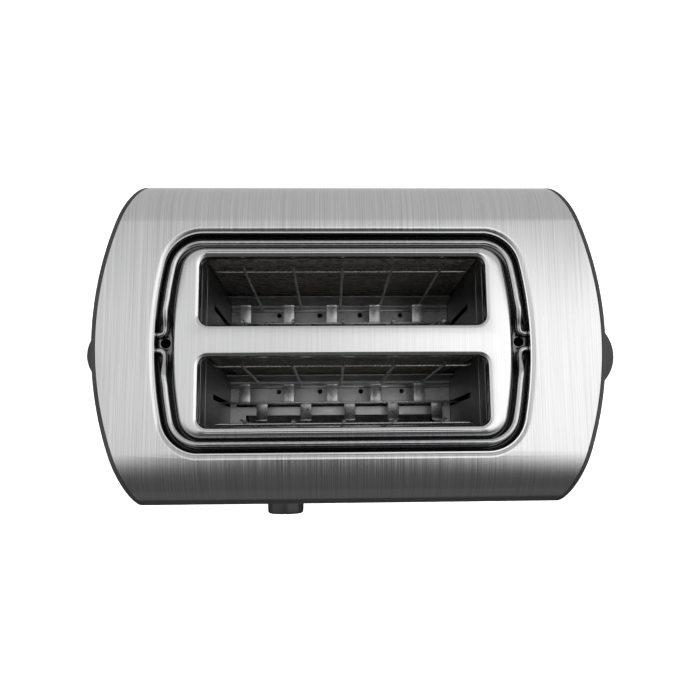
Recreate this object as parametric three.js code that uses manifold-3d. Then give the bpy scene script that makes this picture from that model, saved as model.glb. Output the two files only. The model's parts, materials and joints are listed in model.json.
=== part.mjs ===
// A two-slot pop-up toaster: steel wrap with plastic end caps, a pressed top deck with a fold-up
// warming rack, and the works inside. Millimetres, +Z up, front towards -Y.
import * as THREE from 'three';
import { mergeVertices } from 'three/addons/utils/BufferGeometryUtils.js';
import Module from 'manifold-3d';

const wasm = await Module();
wasm.setup();

// ---------------------------------------------------------------- driving dimensions
const gap = 0.3;                 // clearance between pieces that touch
const overlap = 1;               // how far a cutter runs past what it cuts
const capSteps = 6;              // curve steps for the body's bowed ends

// body
const topHeight = 190;
const bodyHalfDepth = 84.6;
const bodyHalfLength = 126.9;    // of the steel wrap, at the middle of its bowed ends
const bodyBowRadius = 175;
const shoulderRadius = 25.6;
const wrapSheet = 0.8;
const wrapBottom = 14;
const capProud = 2.1;            // how far an end cap stands out past the steel
const capRimLength = 8;
const capRimWall = 2;
const planCorner = 1.5;

// bread slots and top deck
const slotsX = -3.6;             // the slots sit off the middle, away from the lever end
const slotsY = -2.9;
const slotHalfLength = 72.5;
const slotWidth = 35.2;
const slotPitch = 51.1;          // between the middles of the two slots
const slotCorner = 5;
const slotLip = 5;
const deckSheet = 0.8;
const islandHalfLength = 85.7;
const islandHalfDepth = 48.5;
const islandCorner = 12;
const islandBevel = 1.2;
const moatHalfLength = 94.9;
const moatHalfDepth = 56.2;
const moatCorner = 20;
const moatDepth = 9;
const deckBowRadius = 198;
const moatLip = 3.2;

// warming rack
const rackRodDiameter = 3.2;
const rackHalfDepth = 51.2;      // rod line from the middle of the slots
const rackHalfLength = 90.2;
const rackCorner = 15;
const rackRodBelowTop = 2;
const rackPivotOffset = 4;       // each bail's pivot from the middle
const rackPivotBelowTop = 7;
const pivotNotchDepth = 3;
const crankLayer = 4.2;          // from the deck wall out to the cranks
const crankArm = 9;
const crankThickness = 2;
const crankPinDiameter = 2;
const crankHubDiameter = 6;
const crankEyeDiameter = 4;
const crankWaist = [2, 1.6];     // half widths at the hub and at the eye
const crankRestAngle = -62;
const rackSwing = 80;
const rackPinClearance = 0.55;   // a crank pin's travel isn't quite even, so its slot is taller
const slidePlateThickness = 1.5;
const slidePlateHalfWidth = 19;
const slidePlateBelowSlot = 4;
const slidePlateAboveSlot = 0.9;
const slideNeckHalfWidth = 7;
const bailBend = 4;
const bailBendRise = 0.4;
const rackKnobBelowTop = 26;
const rackKnobY = -4;            // from the middle of the slots
const rackKnobOut = 7.8;
const rackKnobWidth = 28;
const rackKnobHeight = 16;

// chassis
const cavityHalfLength = 72.6;
const chassisSheet = 0.8;
const chassisFloorHeight = 53;
const chassisFoot = 24;
const chassisHalfDepth = 55;
const chassisFlange = 9;
const ribSlitWidth = 3.2;
const ribSlitBelowTop = 50;
const tabSlotWidth = 2.8;
const tabSlotAboveFloor = 20;
const tabSlotHeight = 10;
const crumbSlotHalfLength = 62;
const crumbSlotNear = 5.4;       // the crumb slot's edges, in front of its bread slot's middle
const crumbSlotFar = 11.8;
const floorHoleDiameter = 3.2;
const floorHolePitch = 27;
const floorHoleY = 10;           // behind each bread slot's middle
const chuteFootY = 16.6;         // the sloping strips that lead crumbs down from the boards
const chuteTopY = 19.4;
const chuteHeight = 18;
const footStripNear = 12.1;      // the strips that the guards' wires stand on
const footStripFar = 15.1;
const footStripHeight = 1.5;
const ventHalfWidth = 6;
const ventPitch = 19;
const ventAboveFloor = [11, 15];
const boardOuterY = 46.5;        // the outer mica boards, from the middle of the slots
const boardInnerY = 4;
const boardSheet = 0.8;
const boardTopGap = 15;          // below the top plane
const heaterRows = 9;
const heaterRibbon = 0.5;
const heaterRibbonHeight = 1.4;
const heaterTopGap = 12;         // from a board's top edge to its first row
const heaterHalfLength = 66;
const eyeletDiameter = 2.4;
const eyeletX = 64;
const eyeletBelowBoardTop = 6;

// bread guards
const guardWireDiameter = 1.6;
const guardOffset = 14;          // guard plane from its slot's middle
const guardPitch = 25.8;
const guardWires = 5;
const guardTopBelow = 6;
const guardRailBelow = 22.5;
const guardRailHalfLength = 68;

// bread carriage
const ribAboveFloor = 36;
const ribOffset = 1.6;           // rib plane behind its slot's middle
const ribHeight = 12;
const ribStrapHeight = 5;        // the rib's ends, which stay above the chassis floor
const ribBladeHalfLength = 66;   // its deeper middle, which dips through a slit in the floor
const ribSheet = 1.2;
const fingerPitch = 27.7;
const fingerShift = 5.5;
const fingerWidth = 7;
const fingerLength = 11.5;
const fingerLift = 2.2;
const fingers = 5;
const ribTailLength = 8;         // the strap's tail past the left end plate
const bridgeSheet = 1.2;
const bridgeOverhang = 4;        // past each rib, and above it
const bridgeNeckHalfWidth = 9;
const bushHalfWidth = 6;         // the bridge's two ears round the guide rod
const earBelowLever = 14;
const carriageTravel = 29;
const bridgeX = 84;              // from the middle of the slots
const guideRodDiameter = 6;
const guideRodX = 93;
const leverY = -8.7;
const leverBelowTop = 26;
const leverKnobOut = 10.6;
const leverKnobWidth = 35;
const leverKnobHeight = 18;
const leverSlitWidth = 6;
const leverArmSheet = 2.4;
const leverArmHalfHeight = 5;
const leverArmShort = 4;         // from the arm's tip to the end cap's face
const leverNeckHalfHeight = 7;
const leverNeckPlay = 0.6;
const leverNeckLength = 9;
const leverNeckRoot = 2;
const slitEndRoom = 2.5;         // free slit past a lever's neck at each end of its travel

// controls
const knobX = -38.5;
const knobZ = 86;
const knobDiameter = 23.4;
const knobOut = 11;
const knobRim = 1.2;
const knobSkirt = 2.2;           // from the wall to the knob's back edge
const pointerWidth = 1.6;
const pointerDepth = 0.8;
const pointerReach = [3, 9.5];
const shaftDiameter = 6;
const shaftHoleDiameter = 8;
const shaftInKnob = 4;           // from the knob's face to the shaft's end
const knobRingMargin = 3;
const potDiameter = 16;
const potDepth = 8;
const potBoreDepth = 2;
const buttonDiameter = 10;
const buttonPitch = 17;
const buttonOut = 3.4;
const buttonTravel = 2;
const buttonFirstX = -7;
const buttonFlange = 3;
const buttonFlangeNear = 4;      // behind the wall's outside
const buttonFlangeFar = 6;
const buttonStemDiameter = 4;
const switchHalf = 3;
const switchDepth = 5;
const bezelThickness = 1.6;
const bezelMargin = 4;
const controlBoardY = -64;
const controlBoardSheet = 1.6;
const controlBoardMargin = [18, 16];
const controlBoardBelow = 22;
const controlBoardAbove = 20;

// base
const footHeight = 5;
const footDiameter = 15;
const footRecess = 1.5;
const footX = 92;
const footY = 60;
const screwHeadDiameter = 7;
const screwHeadHeight = 2.2;
const screwShankDiameter = 3;
const panHeight = 22;
const panWall = 2.4;
const panFloor = 2.5;
const panInset = 1.6;            // the pan's wall, set in from the outside of the body
const trayHalfLength = 68;
const trayHeight = 5;
const traySheet = 0.6;
const trayPullHalfWidth = 30;

// cord inlet, low on the rear wall at the lever end
const glandX = 84;
const glandZ = 40;
const glandNeck = 11;
const glandFlange = 5;
const glandHead = 3;
const glandDepth = 7;
const glandBore = 7;

// latch magnet, carriage spring and power board
const magnetDiameter = 15;
const magnetPoleDiameter = 6;
const magnetPole = 3;
const magnetSeatHalfX = 8;
const magnetSeatHalfY = 9;
const magnetSeatSheet = 2.5;
const keeperReach = 16;
const keeperHalfWidth = 6;
const keeperThickness = 2;
const springTurns = 7;
const springRadius = 5.2;
const springWireDiameter = 1.2;
const springFootBelowLever = 11.5;
const springTopBelow = 22.5;
const powerBoardX = [12, 42];    // past the end plate
const powerBoardInset = 6;
const powerBoardRaise = 4;
const powerBoardSheet = 1.6;
const powerBoardBehind = 12;

// values that follow
const endSag = bodyBowRadius - Math.sqrt(bodyBowRadius ** 2 - bodyHalfDepth ** 2);
const guideY = 16;               // the guide rod, behind the lever
const keeperY = -16;             // the latch magnet, in front of it
const wall = -bodyHalfDepth;      // the outside of the front
const slotMiddles = [-slotPitch / 2, slotPitch / 2];
const moatFloorZ = topHeight - moatDepth;
const chassisTop = moatFloorZ - deckSheet - gap;
const ribTop = chassisFloorHeight + ribAboveFloor;
const panFloorTop = footHeight + gap + panFloor;
const capOuter = bodyHalfLength + capProud;
const rackPivotZ = topHeight - rackPivotBelowTop;
const crankX = -moatHalfLength - crankLayer;
const pinTravelLow = crankArm * Math.sin(THREE.MathUtils.degToRad(crankRestAngle));
const pinTravelHigh = crankArm * Math.sin(THREE.MathUtils.degToRad(crankRestAngle + rackSwing));
const rackTravel = pinTravelHigh - pinTravelLow;
const rackKnobZ = topHeight - rackKnobBelowTop;
const leverZ = topHeight - leverBelowTop;

// ---------------------------------------------------------------- finishes
function finish(color, roughness, metalness) {
  return new THREE.MeshStandardMaterial({ color, roughness, metalness });
}
const brushedSteel = finish(0xb9babb, 0.32, 1);
const polishedSteel = finish(0xc9cacb, 0.2, 1);
const galvanised = finish(0x8f9193, 0.5, 1);
const chromeRod = finish(0xd8d9da, 0.12, 1);
const blackPlastic = finish(0x16171a, 0.45, 0);
const glossPlastic = finish(0x1d1e21, 0.25, 0);
const rubber = finish(0x1a1a1a, 0.85, 0);
const mica = finish(0x55514a, 0.6, 0);
const nichrome = finish(0x9a948c, 0.4, 1);
const springSteel = finish(0x9da0a4, 0.35, 1);
const circuitBoard = finish(0x2f5a38, 0.6, 0);
const magnetPaint = finish(0x3a3c40, 0.5, 0.6);

// ---------------------------------------------------------------- solids
function solid(geometry) {
  const plain = geometry.clone();
  plain.deleteAttribute('normal');
  plain.deleteAttribute('uv');
  const merged = mergeVertices(plain, 1e-4);
  const mesh = new wasm.Mesh({
    numProp: 3,
    vertProperties: merged.attributes.position.array,
    triVerts: Uint32Array.from(merged.index.array),
  });
  return new wasm.Manifold(mesh);
}

function shell(manifold) {
  const mesh = manifold.getMesh();
  const geometry = new THREE.BufferGeometry();
  geometry.setAttribute('position', new THREE.BufferAttribute(mesh.vertProperties, 3));
  geometry.setIndex(new THREE.BufferAttribute(mesh.triVerts, 1));
  geometry.computeVertexNormals();
  return geometry;
}

function cut(geometry, ...cutters) {
  return shell(cutters.reduce((left, cutter) => left.subtract(solid(cutter)), solid(geometry)));
}

function join(...geometries) {
  return shell(geometries.map(solid).reduce((whole, next) => whole.add(next)));
}

function common(first, second) {
  return shell(solid(first).intersect(solid(second)));
}

function block(x, y, z) {
  const geometry = new THREE.BoxGeometry(x[1] - x[0], y[1] - y[0], z[1] - z[0]);
  return geometry.translate((x[0] + x[1]) / 2, (y[0] + y[1]) / 2, (z[0] + z[1]) / 2);
}

const alongX = new THREE.Vector3(1, 0, 0);
const alongY = new THREE.Vector3(0, 1, 0);
const alongZ = new THREE.Vector3(0, 0, 1);

// a round bar between two places on a line along X, Y or Z
function bar(diameter, from, to, sides = 16) {
  const start = new THREE.Vector3(...from);
  const run = new THREE.Vector3(...to).sub(start);
  const geometry = new THREE.CylinderGeometry(diameter / 2, diameter / 2, run.length(), sides);
  const turn = new THREE.Quaternion().setFromUnitVectors(alongY, run.clone().normalize());
  return geometry.applyQuaternion(turn).translate(...start.addScaledVector(run, 0.5).toArray());
}

// the two limits of something on the left or right, in order
function sidePair(side, near, far) {
  return side > 0 ? [near, far] : [-far, -near];
}

// the limits of something a given width across a middle
function about(middle, width) {
  return [middle - width / 2, middle + width / 2];
}

// a plan outline (x, y) raised from one height to another
function upright(shape, low, high, curveSegments = 4) {
  const geometry = new THREE.ExtrudeGeometry(shape, { depth: high - low, bevelEnabled: false, curveSegments });
  return geometry.translate(0, 0, low);
}

// a cross-section (y, z) run along X
function lengthwise(shape, from, to, curveSegments = 5) {
  const geometry = new THREE.ExtrudeGeometry(shape, { depth: to - from, bevelEnabled: false, curveSegments });
  return geometry.applyMatrix4(new THREE.Matrix4().makeBasis(alongY, alongZ, alongX)).translate(from, 0, 0);
}

// a front view (x, z) run along Y
function crosswise(shape, front, rear, curveSegments = 4) {
  const geometry = new THREE.ExtrudeGeometry(shape, { depth: rear - front, bevelEnabled: false, curveSegments });
  const turn = new THREE.Matrix4().makeBasis(alongX, alongZ, alongY.clone().negate());
  return geometry.applyMatrix4(turn).translate(0, rear, 0);
}

function roundedBox(x, y, radius) {
  const shape = new THREE.Shape();
  shape.absarc(x[1] - radius, y[1] - radius, radius, 0, Math.PI / 2);
  shape.absarc(x[0] + radius, y[1] - radius, radius, Math.PI / 2, Math.PI);
  shape.absarc(x[0] + radius, y[0] + radius, radius, Math.PI, Math.PI * 1.5);
  shape.absarc(x[1] - radius, y[0] + radius, radius, Math.PI * 1.5, Math.PI * 2);
  return shape;
}

// an outline with straight front and rear edges and ends that bow outwards
function bowedPlan(middle, halfLength, halfDepth, corner, bow) {
  const [cx, cy] = middle;
  const bowX = halfLength - bow;
  const cornerY = halfDepth - corner;
  const cornerX = bowX + Math.sqrt((bow - corner) ** 2 - cornerY ** 2);
  const bowAngle = Math.atan2(cornerY, cornerX - bowX);
  const quarter = Math.PI / 2;
  const shape = new THREE.Shape();
  shape.absarc(cx + bowX, cy, bow, -bowAngle, bowAngle);
  shape.absarc(cx + cornerX, cy + cornerY, corner, bowAngle, quarter);
  shape.absarc(cx - cornerX, cy + cornerY, corner, quarter, Math.PI - bowAngle);
  shape.absarc(cx - bowX, cy, bow, Math.PI - bowAngle, Math.PI + bowAngle);
  shape.absarc(cx - cornerX, cy - cornerY, corner, Math.PI + bowAngle, 3 * quarter);
  shape.absarc(cx + cornerX, cy - cornerY, corner, 3 * quarter, 4 * quarter - bowAngle);
  return shape;
}

// the body's cross-section: upright walls and round shoulders
function arch(halfDepth, bottom, top, radius) {
  const shape = new THREE.Shape();
  shape.moveTo(halfDepth, bottom);
  shape.lineTo(halfDepth, top - radius);
  shape.absarc(halfDepth - radius, top - radius, radius, 0, Math.PI / 2);
  shape.absarc(radius - halfDepth, top - radius, radius, Math.PI / 2, Math.PI);
  shape.lineTo(-halfDepth, bottom);
  return shape;
}

function archInset(inset, bottom) {
  return arch(bodyHalfDepth - inset, bottom, topHeight - inset, shoulderRadius - inset);
}

function bodyPlan(grow, halfDepth = bodyHalfDepth + grow) {
  return bowedPlan([0, 0], bodyHalfLength + grow, halfDepth, planCorner, bodyBowRadius + grow);
}

function deckPlan(halfLength, halfDepth, corner) {
  return bowedPlan([slotsX, slotsY], halfLength, halfDepth, corner, deckBowRadius);
}

const toaster = new THREE.Group();
const works = new THREE.Group();   // placed on the middle of the slots
works.position.set(slotsX, slotsY, 0);
toaster.add(works);

function piece(name, geometry, material, group = toaster) {
  const mesh = new THREE.Mesh(geometry, material);
  mesh.name = name;
  group.add(mesh);
}

// ---------------------------------------------------------------- casing
function addWrap() {
  const reach = bodyHalfLength + overlap;
  const arched = cut(
    lengthwise(archInset(0, wrapBottom), -reach, reach),
    lengthwise(archInset(wrapSheet, wrapBottom - overlap), -reach - overlap, reach + overlap),
  );
  const bowed = common(arched, upright(bodyPlan(0, bodyHalfDepth + overlap), 0, topHeight + overlap, capSteps));
  const lipBottom = topHeight - moatLip;
  const opening = (grow) => deckPlan(moatHalfLength + grow, moatHalfDepth + grow, moatCorner + grow);
  const lipped = join(bowed, upright(opening(wrapSheet), lipBottom, topHeight));
  const frontHole = (diameter, x) => bar(diameter, [x, wall - overlap, knobZ], [x, wall + 2 * overlap, knobZ]);
  const rearHole = bar(
    glandNeck + 2 * gap, [glandX, bodyHalfDepth - 2 * overlap, glandZ], [glandX, bodyHalfDepth + overlap, glandZ]);
  piece('outer_wrap', cut(
    lipped,
    upright(opening(0), lipBottom - overlap, topHeight + overlap),
    frontHole(shaftHoleDiameter, knobX),
    ...buttonPlaces().map((x) => frontHole(buttonDiameter - 2 * gap, x)),
    rearHole,
  ), brushedSteel);
}

// the black end caps: a bowed plate past the steel's edge, and a rim that tucks inside the wrap
function addEndCap(name, side, slit) {
  const far = capOuter + overlap;
  const half = block(side > 0 ? [0, far] : [-far, 0], [-bodyHalfDepth, bodyHalfDepth], [0, topHeight]);
  const bowed = (grow, halfDepth) => upright(bodyPlan(grow, halfDepth), 0, topHeight + overlap, capSteps);
  const plate = cut(
    common(lengthwise(archInset(0, wrapBottom), -far, far), bowed(capProud)),
    bowed(gap, bodyHalfDepth + overlap),
  );
  const rimInset = wrapSheet + gap;
  const rimBottom = panHeight + gap;
  const rim = cut(
    common(lengthwise(archInset(rimInset, rimBottom), -far, far), bowed(capProud / 2, bodyHalfDepth + overlap)),
    lengthwise(archInset(rimInset + capRimWall, rimBottom + capRimWall), -far, far),
    bowed(-capRimLength, bodyHalfDepth + overlap),
  );
  piece(name, cut(common(join(plate, rim), half), slit), blackPlastic);
}

function addEndCaps() {
  const deep = capRimLength + capProud + endSag;
  const slitReach = leverNeckHalfHeight + slitEndRoom;
  const slitCorner = leverSlitWidth / 2 - gap;
  const leverHeights = [leverZ - carriageTravel - slitReach, leverZ + slitReach];
  const leverSlit = roundedBox(about(leverY, leverSlitWidth), leverHeights, slitCorner);
  addEndCap('right_end_cap', 1, lengthwise(leverSlit, capOuter - deep, capOuter + overlap));
  const rackHeights = [rackKnobZ - slitReach, rackKnobZ + rackTravel + slitReach];
  const rackSlit = roundedBox(about(slotsY + rackKnobY, leverSlitWidth), rackHeights, slitCorner);
  addEndCap('left_end_cap', -1, lengthwise(rackSlit, -capOuter - overlap, deep - capOuter));
}

// the pressed deck: a moat for the rack's rods round a raised island with two lipped slots
function addDeck() {
  const outside = moatHalfLength - gap;
  const outsideDepth = moatHalfDepth - gap;
  const wallTop = topHeight - overlap;
  const dishBottom = moatFloorZ - deckSheet;
  const lipBottom = topHeight - slotLip - deckSheet;
  const inside = deckPlan(outside - deckSheet, outsideDepth - deckSheet, moatCorner - gap - deckSheet);
  const dish = cut(
    upright(deckPlan(outside, outsideDepth, moatCorner - gap), dishBottom, wallTop),
    upright(inside, moatFloorZ, topHeight),
  );
  const islandPlan = (inset) => deckPlan(
    islandHalfLength - inset, islandHalfDepth - inset, islandCorner - inset);
  const island = join(
    upright(islandPlan(0), dishBottom, topHeight - islandBevel),
    upright(islandPlan(islandBevel), topHeight - 2 * islandBevel, topHeight),
  );
  const hollow = upright(islandPlan(deckSheet), dishBottom - overlap, topHeight - islandBevel - deckSheet);
  const lips = slotMiddles.map((y) => upright(slotPlan(y, deckSheet), lipBottom, topHeight - islandBevel));
  const holes = slotMiddles.map((y) => upright(slotPlan(y, 0), dishBottom - overlap, topHeight + overlap));
  const notchHalf = rackRodDiameter / 2 + 2 * gap;
  const pivotNotches = [-1, 1].flatMap((side) => [-rackPivotOffset, rackPivotOffset].map((y) => block(
    sidePair(side, outside - pivotNotchDepth, outside + overlap).map((x) => slotsX + x),
    [slotsY + y - notchHalf, slotsY + y + notchHalf],
    [rackPivotZ - notchHalf, topHeight],
  )));
  const hollowed = cut(join(dish, island), hollow);
  piece('top_deck', cut(join(hollowed, ...lips), ...holes, ...pivotNotches), polishedSteel);
}

function slotPlan(y, grow) {
  const halfWidth = slotWidth / 2 + grow;
  const reach = slotHalfLength + grow;
  const across = [slotsY + y - halfWidth, slotsY + y + halfWidth];
  return roundedBox([slotsX - reach, slotsX + reach], across, slotCorner + grow);
}

function addBase() {
  const bottom = footHeight + gap;
  const rearWall = bodyHalfDepth - panInset - panWall;
  const pan = cut(
    upright(bodyPlan(-panInset), bottom, panHeight, capSteps),
    upright(bodyPlan(-panInset - panWall), panFloorTop, panHeight + overlap, capSteps),
    block(
      [slotsX - trayHalfLength - gap * 2, slotsX + trayHalfLength + gap * 2],
      [rearWall - overlap, bodyHalfDepth],
      [panFloorTop, panFloorTop + trayHeight + 2 * gap],
    ),
  );
  piece('base_pan', pan, blackPlastic);
  for (const [end, x] of [['left', -footX], ['right', footX]]) {
    for (const [side, y] of [['front', -footY], ['rear', footY]]) {
      const pad = bar(footDiameter, [x, y, 0], [x, y, footHeight], 20);
      const recess = bar(footDiameter / 2, [x, y, -overlap], [x, y, footRecess], 12);
      piece(`foot_${side}_${end}`, cut(pad, recess), rubber);
      const head = panFloorTop + gap;
      const screw = join(
        bar(screwHeadDiameter, [x, y, head], [x, y, head + screwHeadHeight], 12),
        bar(screwShankDiameter, [x, y, head + screwHeadHeight / 2], [x, y, chassisFoot - 2 * gap], 10),
      );
      piece(`base_screw_${side}_${end}`, screw, galvanised);
    }
  }
}

function addCrumbTray() {
  const low = panFloorTop + gap;
  const rear = bodyHalfDepth - slotsY - panInset - gap;
  const reach = trayHalfLength - traySheet;
  const tray = cut(
    block([-trayHalfLength, trayHalfLength], [-chassisHalfDepth, rear], [low, low + trayHeight]),
    block(
      [-reach, reach],
      [traySheet - chassisHalfDepth, rear - traySheet],
      [low + traySheet, low + 2 * trayHeight],
    ),
  );
  const pullHeights = [low + traySheet, low + trayHeight - traySheet];
  const pullY = [rear - overlap, rear + panInset + gap];
  const pull = block([-trayPullHalfWidth, trayPullHalfWidth], pullY, pullHeights);
  piece('crumb_tray', join(tray, pull), galvanised, works);
}

// ---------------------------------------------------------------- chassis
function addEndPlates() {
  const ribLowest = ribTop - ribHeight - carriageTravel - slitEndRoom;
  const tabLow = chassisFloorHeight + tabSlotAboveFloor;
  const depth = [-chassisHalfDepth, chassisHalfDepth];
  for (const [name, side] of [['left_end_plate', -1], ['right_end_plate', 1]]) {
    const inner = cavityHalfLength;
    const outer = cavityHalfLength + chassisSheet;
    const through = sidePair(side, inner - overlap, outer + overlap);
    const plate = join(
      block(sidePair(side, inner, outer), depth, [chassisFoot, chassisTop]),
      block(sidePair(side, inner, inner + chassisFlange), depth, [chassisFoot, chassisFoot + chassisSheet]),
    );
    const slits = slotMiddles.map((y) => block(
      through, about(y + ribOffset, ribSlitWidth), [ribLowest, topHeight - ribSlitBelowTop]));
    const tabs = boardPlanes().map((y) => block(
      through, about(y, tabSlotWidth), [tabLow, tabLow + tabSlotHeight]));
    piece(name, cut(plate, ...slits, ...tabs), galvanised, works);
  }
}

function addChassisFloor() {
  const reach = cavityHalfLength - gap;
  const depth = chassisHalfDepth - 2 * gap;
  const low = chassisFloorHeight - chassisSheet;
  const through = [low - overlap, chassisFloorHeight + overlap];
  const slitReach = ribBladeHalfLength + 2;
  const solids = [block([-reach, reach], [-depth, depth], [low, chassisFloorHeight])];
  const openings = [];
  for (const middle of slotMiddles) {
    for (const side of [-1, 1]) {
      solids.push(lengthwise(chuteSection(middle, side), -reach, reach));
      const strip = sidePair(side, footStripNear, footStripFar).map((y) => middle + y);
      solids.push(block([-reach, reach], strip, [low, chassisFloorHeight + footStripHeight]));
    }
    openings.push(block([-slitReach, slitReach], about(middle + ribOffset, ribSlitWidth), through));
    const crumbSlot = [middle - crumbSlotFar, middle - crumbSlotNear];
    openings.push(block([-crumbSlotHalfLength, crumbSlotHalfLength], crumbSlot, through));
    for (const x of [-1.5, -0.5, 0.5, 1.5].map((n) => n * floorHolePitch)) {
      const y = middle + floorHoleY;
      openings.push(bar(floorHoleDiameter, [x, y, through[0]], [x, y, through[1]], 8));
    }
  }
  piece('chassis_floor', cut(join(...solids), ...openings), galvanised, works);
}

// a sloping strip beside a bread slot, from the floor up towards the board
function chuteSection(middle, side) {
  const foot = middle + side * chuteFootY;
  const high = middle + side * chuteTopY;
  const bottom = chassisFloorHeight - chassisSheet / 2;
  const shape = new THREE.Shape();
  shape.moveTo(foot, bottom);
  shape.lineTo(foot + side * chassisSheet, bottom);
  shape.lineTo(high, chassisFloorHeight + chuteHeight);
  shape.lineTo(high - side * chassisSheet, chassisFloorHeight + chuteHeight);
  return shape;
}

function addHeatShields() {
  const reach = cavityHalfLength - gap;
  const outer = chassisHalfDepth - gap;
  for (const [name, side] of [['front_heat_shield', -1], ['rear_heat_shield', 1]]) {
    const y = sidePair(side, outer - chassisSheet, outer);
    const vents = [-3, -2, -1, 0, 1, 2, 3].map((n) => block(
      about(n * ventPitch, 2 * ventHalfWidth),
      [y[0] - overlap, y[1] + overlap],
      ventAboveFloor.map((height) => chassisFloorHeight + height),
    ));
    const sheet = block([-reach, reach], y, [chassisFloorHeight + gap, chassisTop]);
    piece(name, cut(sheet, ...vents), galvanised, works);
  }
}

function boardPlanes() {
  return [-boardOuterY, -boardInnerY, boardInnerY, boardOuterY];
}

function addHeaters() {
  const names = ['front_outer', 'front_inner', 'rear_inner', 'rear_outer'];
  const facing = [1, -1, 1, -1];            // the side of each board that the bread is on
  const boardTop = topHeight - boardTopGap;
  const reach = cavityHalfLength - 2 * gap;
  const eyeletZ = boardTop - eyeletBelowBoardTop;
  boardPlanes().forEach((y, index) => {
    const board = block([-reach, reach], about(y, boardSheet), [chassisFloorHeight + gap, boardTop]);
    const eyelets = [-eyeletX, eyeletX].map((x) => bar(
      eyeletDiameter, [x, y - overlap, eyeletZ], [x, y + overlap, eyeletZ], 8));
    piece(`${names[index]}_mica_board`, cut(board, ...eyelets), mica, works);
    const ribbon = ribbonGeometry(y, facing[index], boardTop - heaterTopGap);
    piece(`${names[index]}_heating_ribbon`, ribbon, nichrome, works);
  });
}

// one flat ribbon that runs to and fro across a board
function ribbonGeometry(boardY, side, top) {
  const near = boardY + side * (boardSheet / 2 + gap);
  const y = [near, near + side * heaterRibbon].sort((a, b) => a - b);
  const rowPitch = (top - chassisFloorHeight - heaterTopGap) / (heaterRows - 1);
  const runs = [];
  for (let row = 0; row < heaterRows; row += 1) {
    const z = top - row * rowPitch;
    runs.push(block([-heaterHalfLength, heaterHalfLength], y, [z - heaterRibbonHeight, z]));
    if (row < heaterRows - 1) {
      const x = sidePair(row % 2 ? -1 : 1, heaterHalfLength - heaterRibbonHeight, heaterHalfLength);
      runs.push(block(x, y, [z - rowPitch - heaterRibbonHeight / 2, z - heaterRibbonHeight / 2]));
    }
  }
  return join(...runs);
}

// one guard on each side of each slot: upright wires tied by a rail near the top
function addGuards() {
  const railZ = topHeight - guardRailBelow;
  const foot = chassisFloorHeight + footStripHeight + gap;
  for (const [slot, middle] of [['front', slotMiddles[0]], ['rear', slotMiddles[1]]]) {
    for (const [side, direction] of [['front', -1], ['rear', 1]]) {
      const y = middle + direction * guardOffset;
      const railEnds = [-guardRailHalfLength, guardRailHalfLength].map((x) => [x, y, railZ]);
      const wires = [bar(guardWireDiameter, ...railEnds, 6)];
      for (let n = 0; n < guardWires; n += 1) {
        const x = (n - (guardWires - 1) / 2) * guardPitch;
        wires.push(bar(guardWireDiameter, [x, y, foot], [x, y, topHeight - guardTopBelow], 6));
      }
      piece(`${slot}_slot_${side}_guard`, join(...wires), chromeRod, works);
    }
  }
}

// ---------------------------------------------------------------- bread carriage
// a rib with fingers bent out to both sides: a strap from end to end and a deeper blade between
function ribGeometry(y) {
  const across = about(y, ribSheet);
  const pieces = [
    block([-cavityHalfLength - ribTailLength, bridgeX - gap], across, [ribTop - ribStrapHeight, ribTop]),
    block([-ribBladeHalfLength, ribBladeHalfLength], across, [ribTop - ribHeight, ribTop]),
  ];
  for (let n = 0; n < fingers; n += 1) {
    const middle = (n - (fingers - 1) / 2) * fingerPitch;
    for (const side of [-1, 1]) {
      pieces.push(crosswiseFinger(middle - side * fingerShift, y, side));
    }
  }
  return join(...pieces);
}

// a finger's side view: out from the rib's top, rising gently to its tip
function crosswiseFinger(x, y, side) {
  const half = y + (side * fingerLength) / 2;
  const tip = y + side * fingerLength;
  const under = ribTop - ribSheet;
  const shape = new THREE.Shape();
  shape.moveTo(y, under);
  shape.quadraticCurveTo(half, under, tip, under + fingerLift);
  shape.lineTo(tip, ribTop + fingerLift);
  shape.quadraticCurveTo(half, ribTop, y, ribTop);
  return lengthwise(shape, x - fingerWidth / 2, x + fingerWidth / 2, 3);
}

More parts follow.
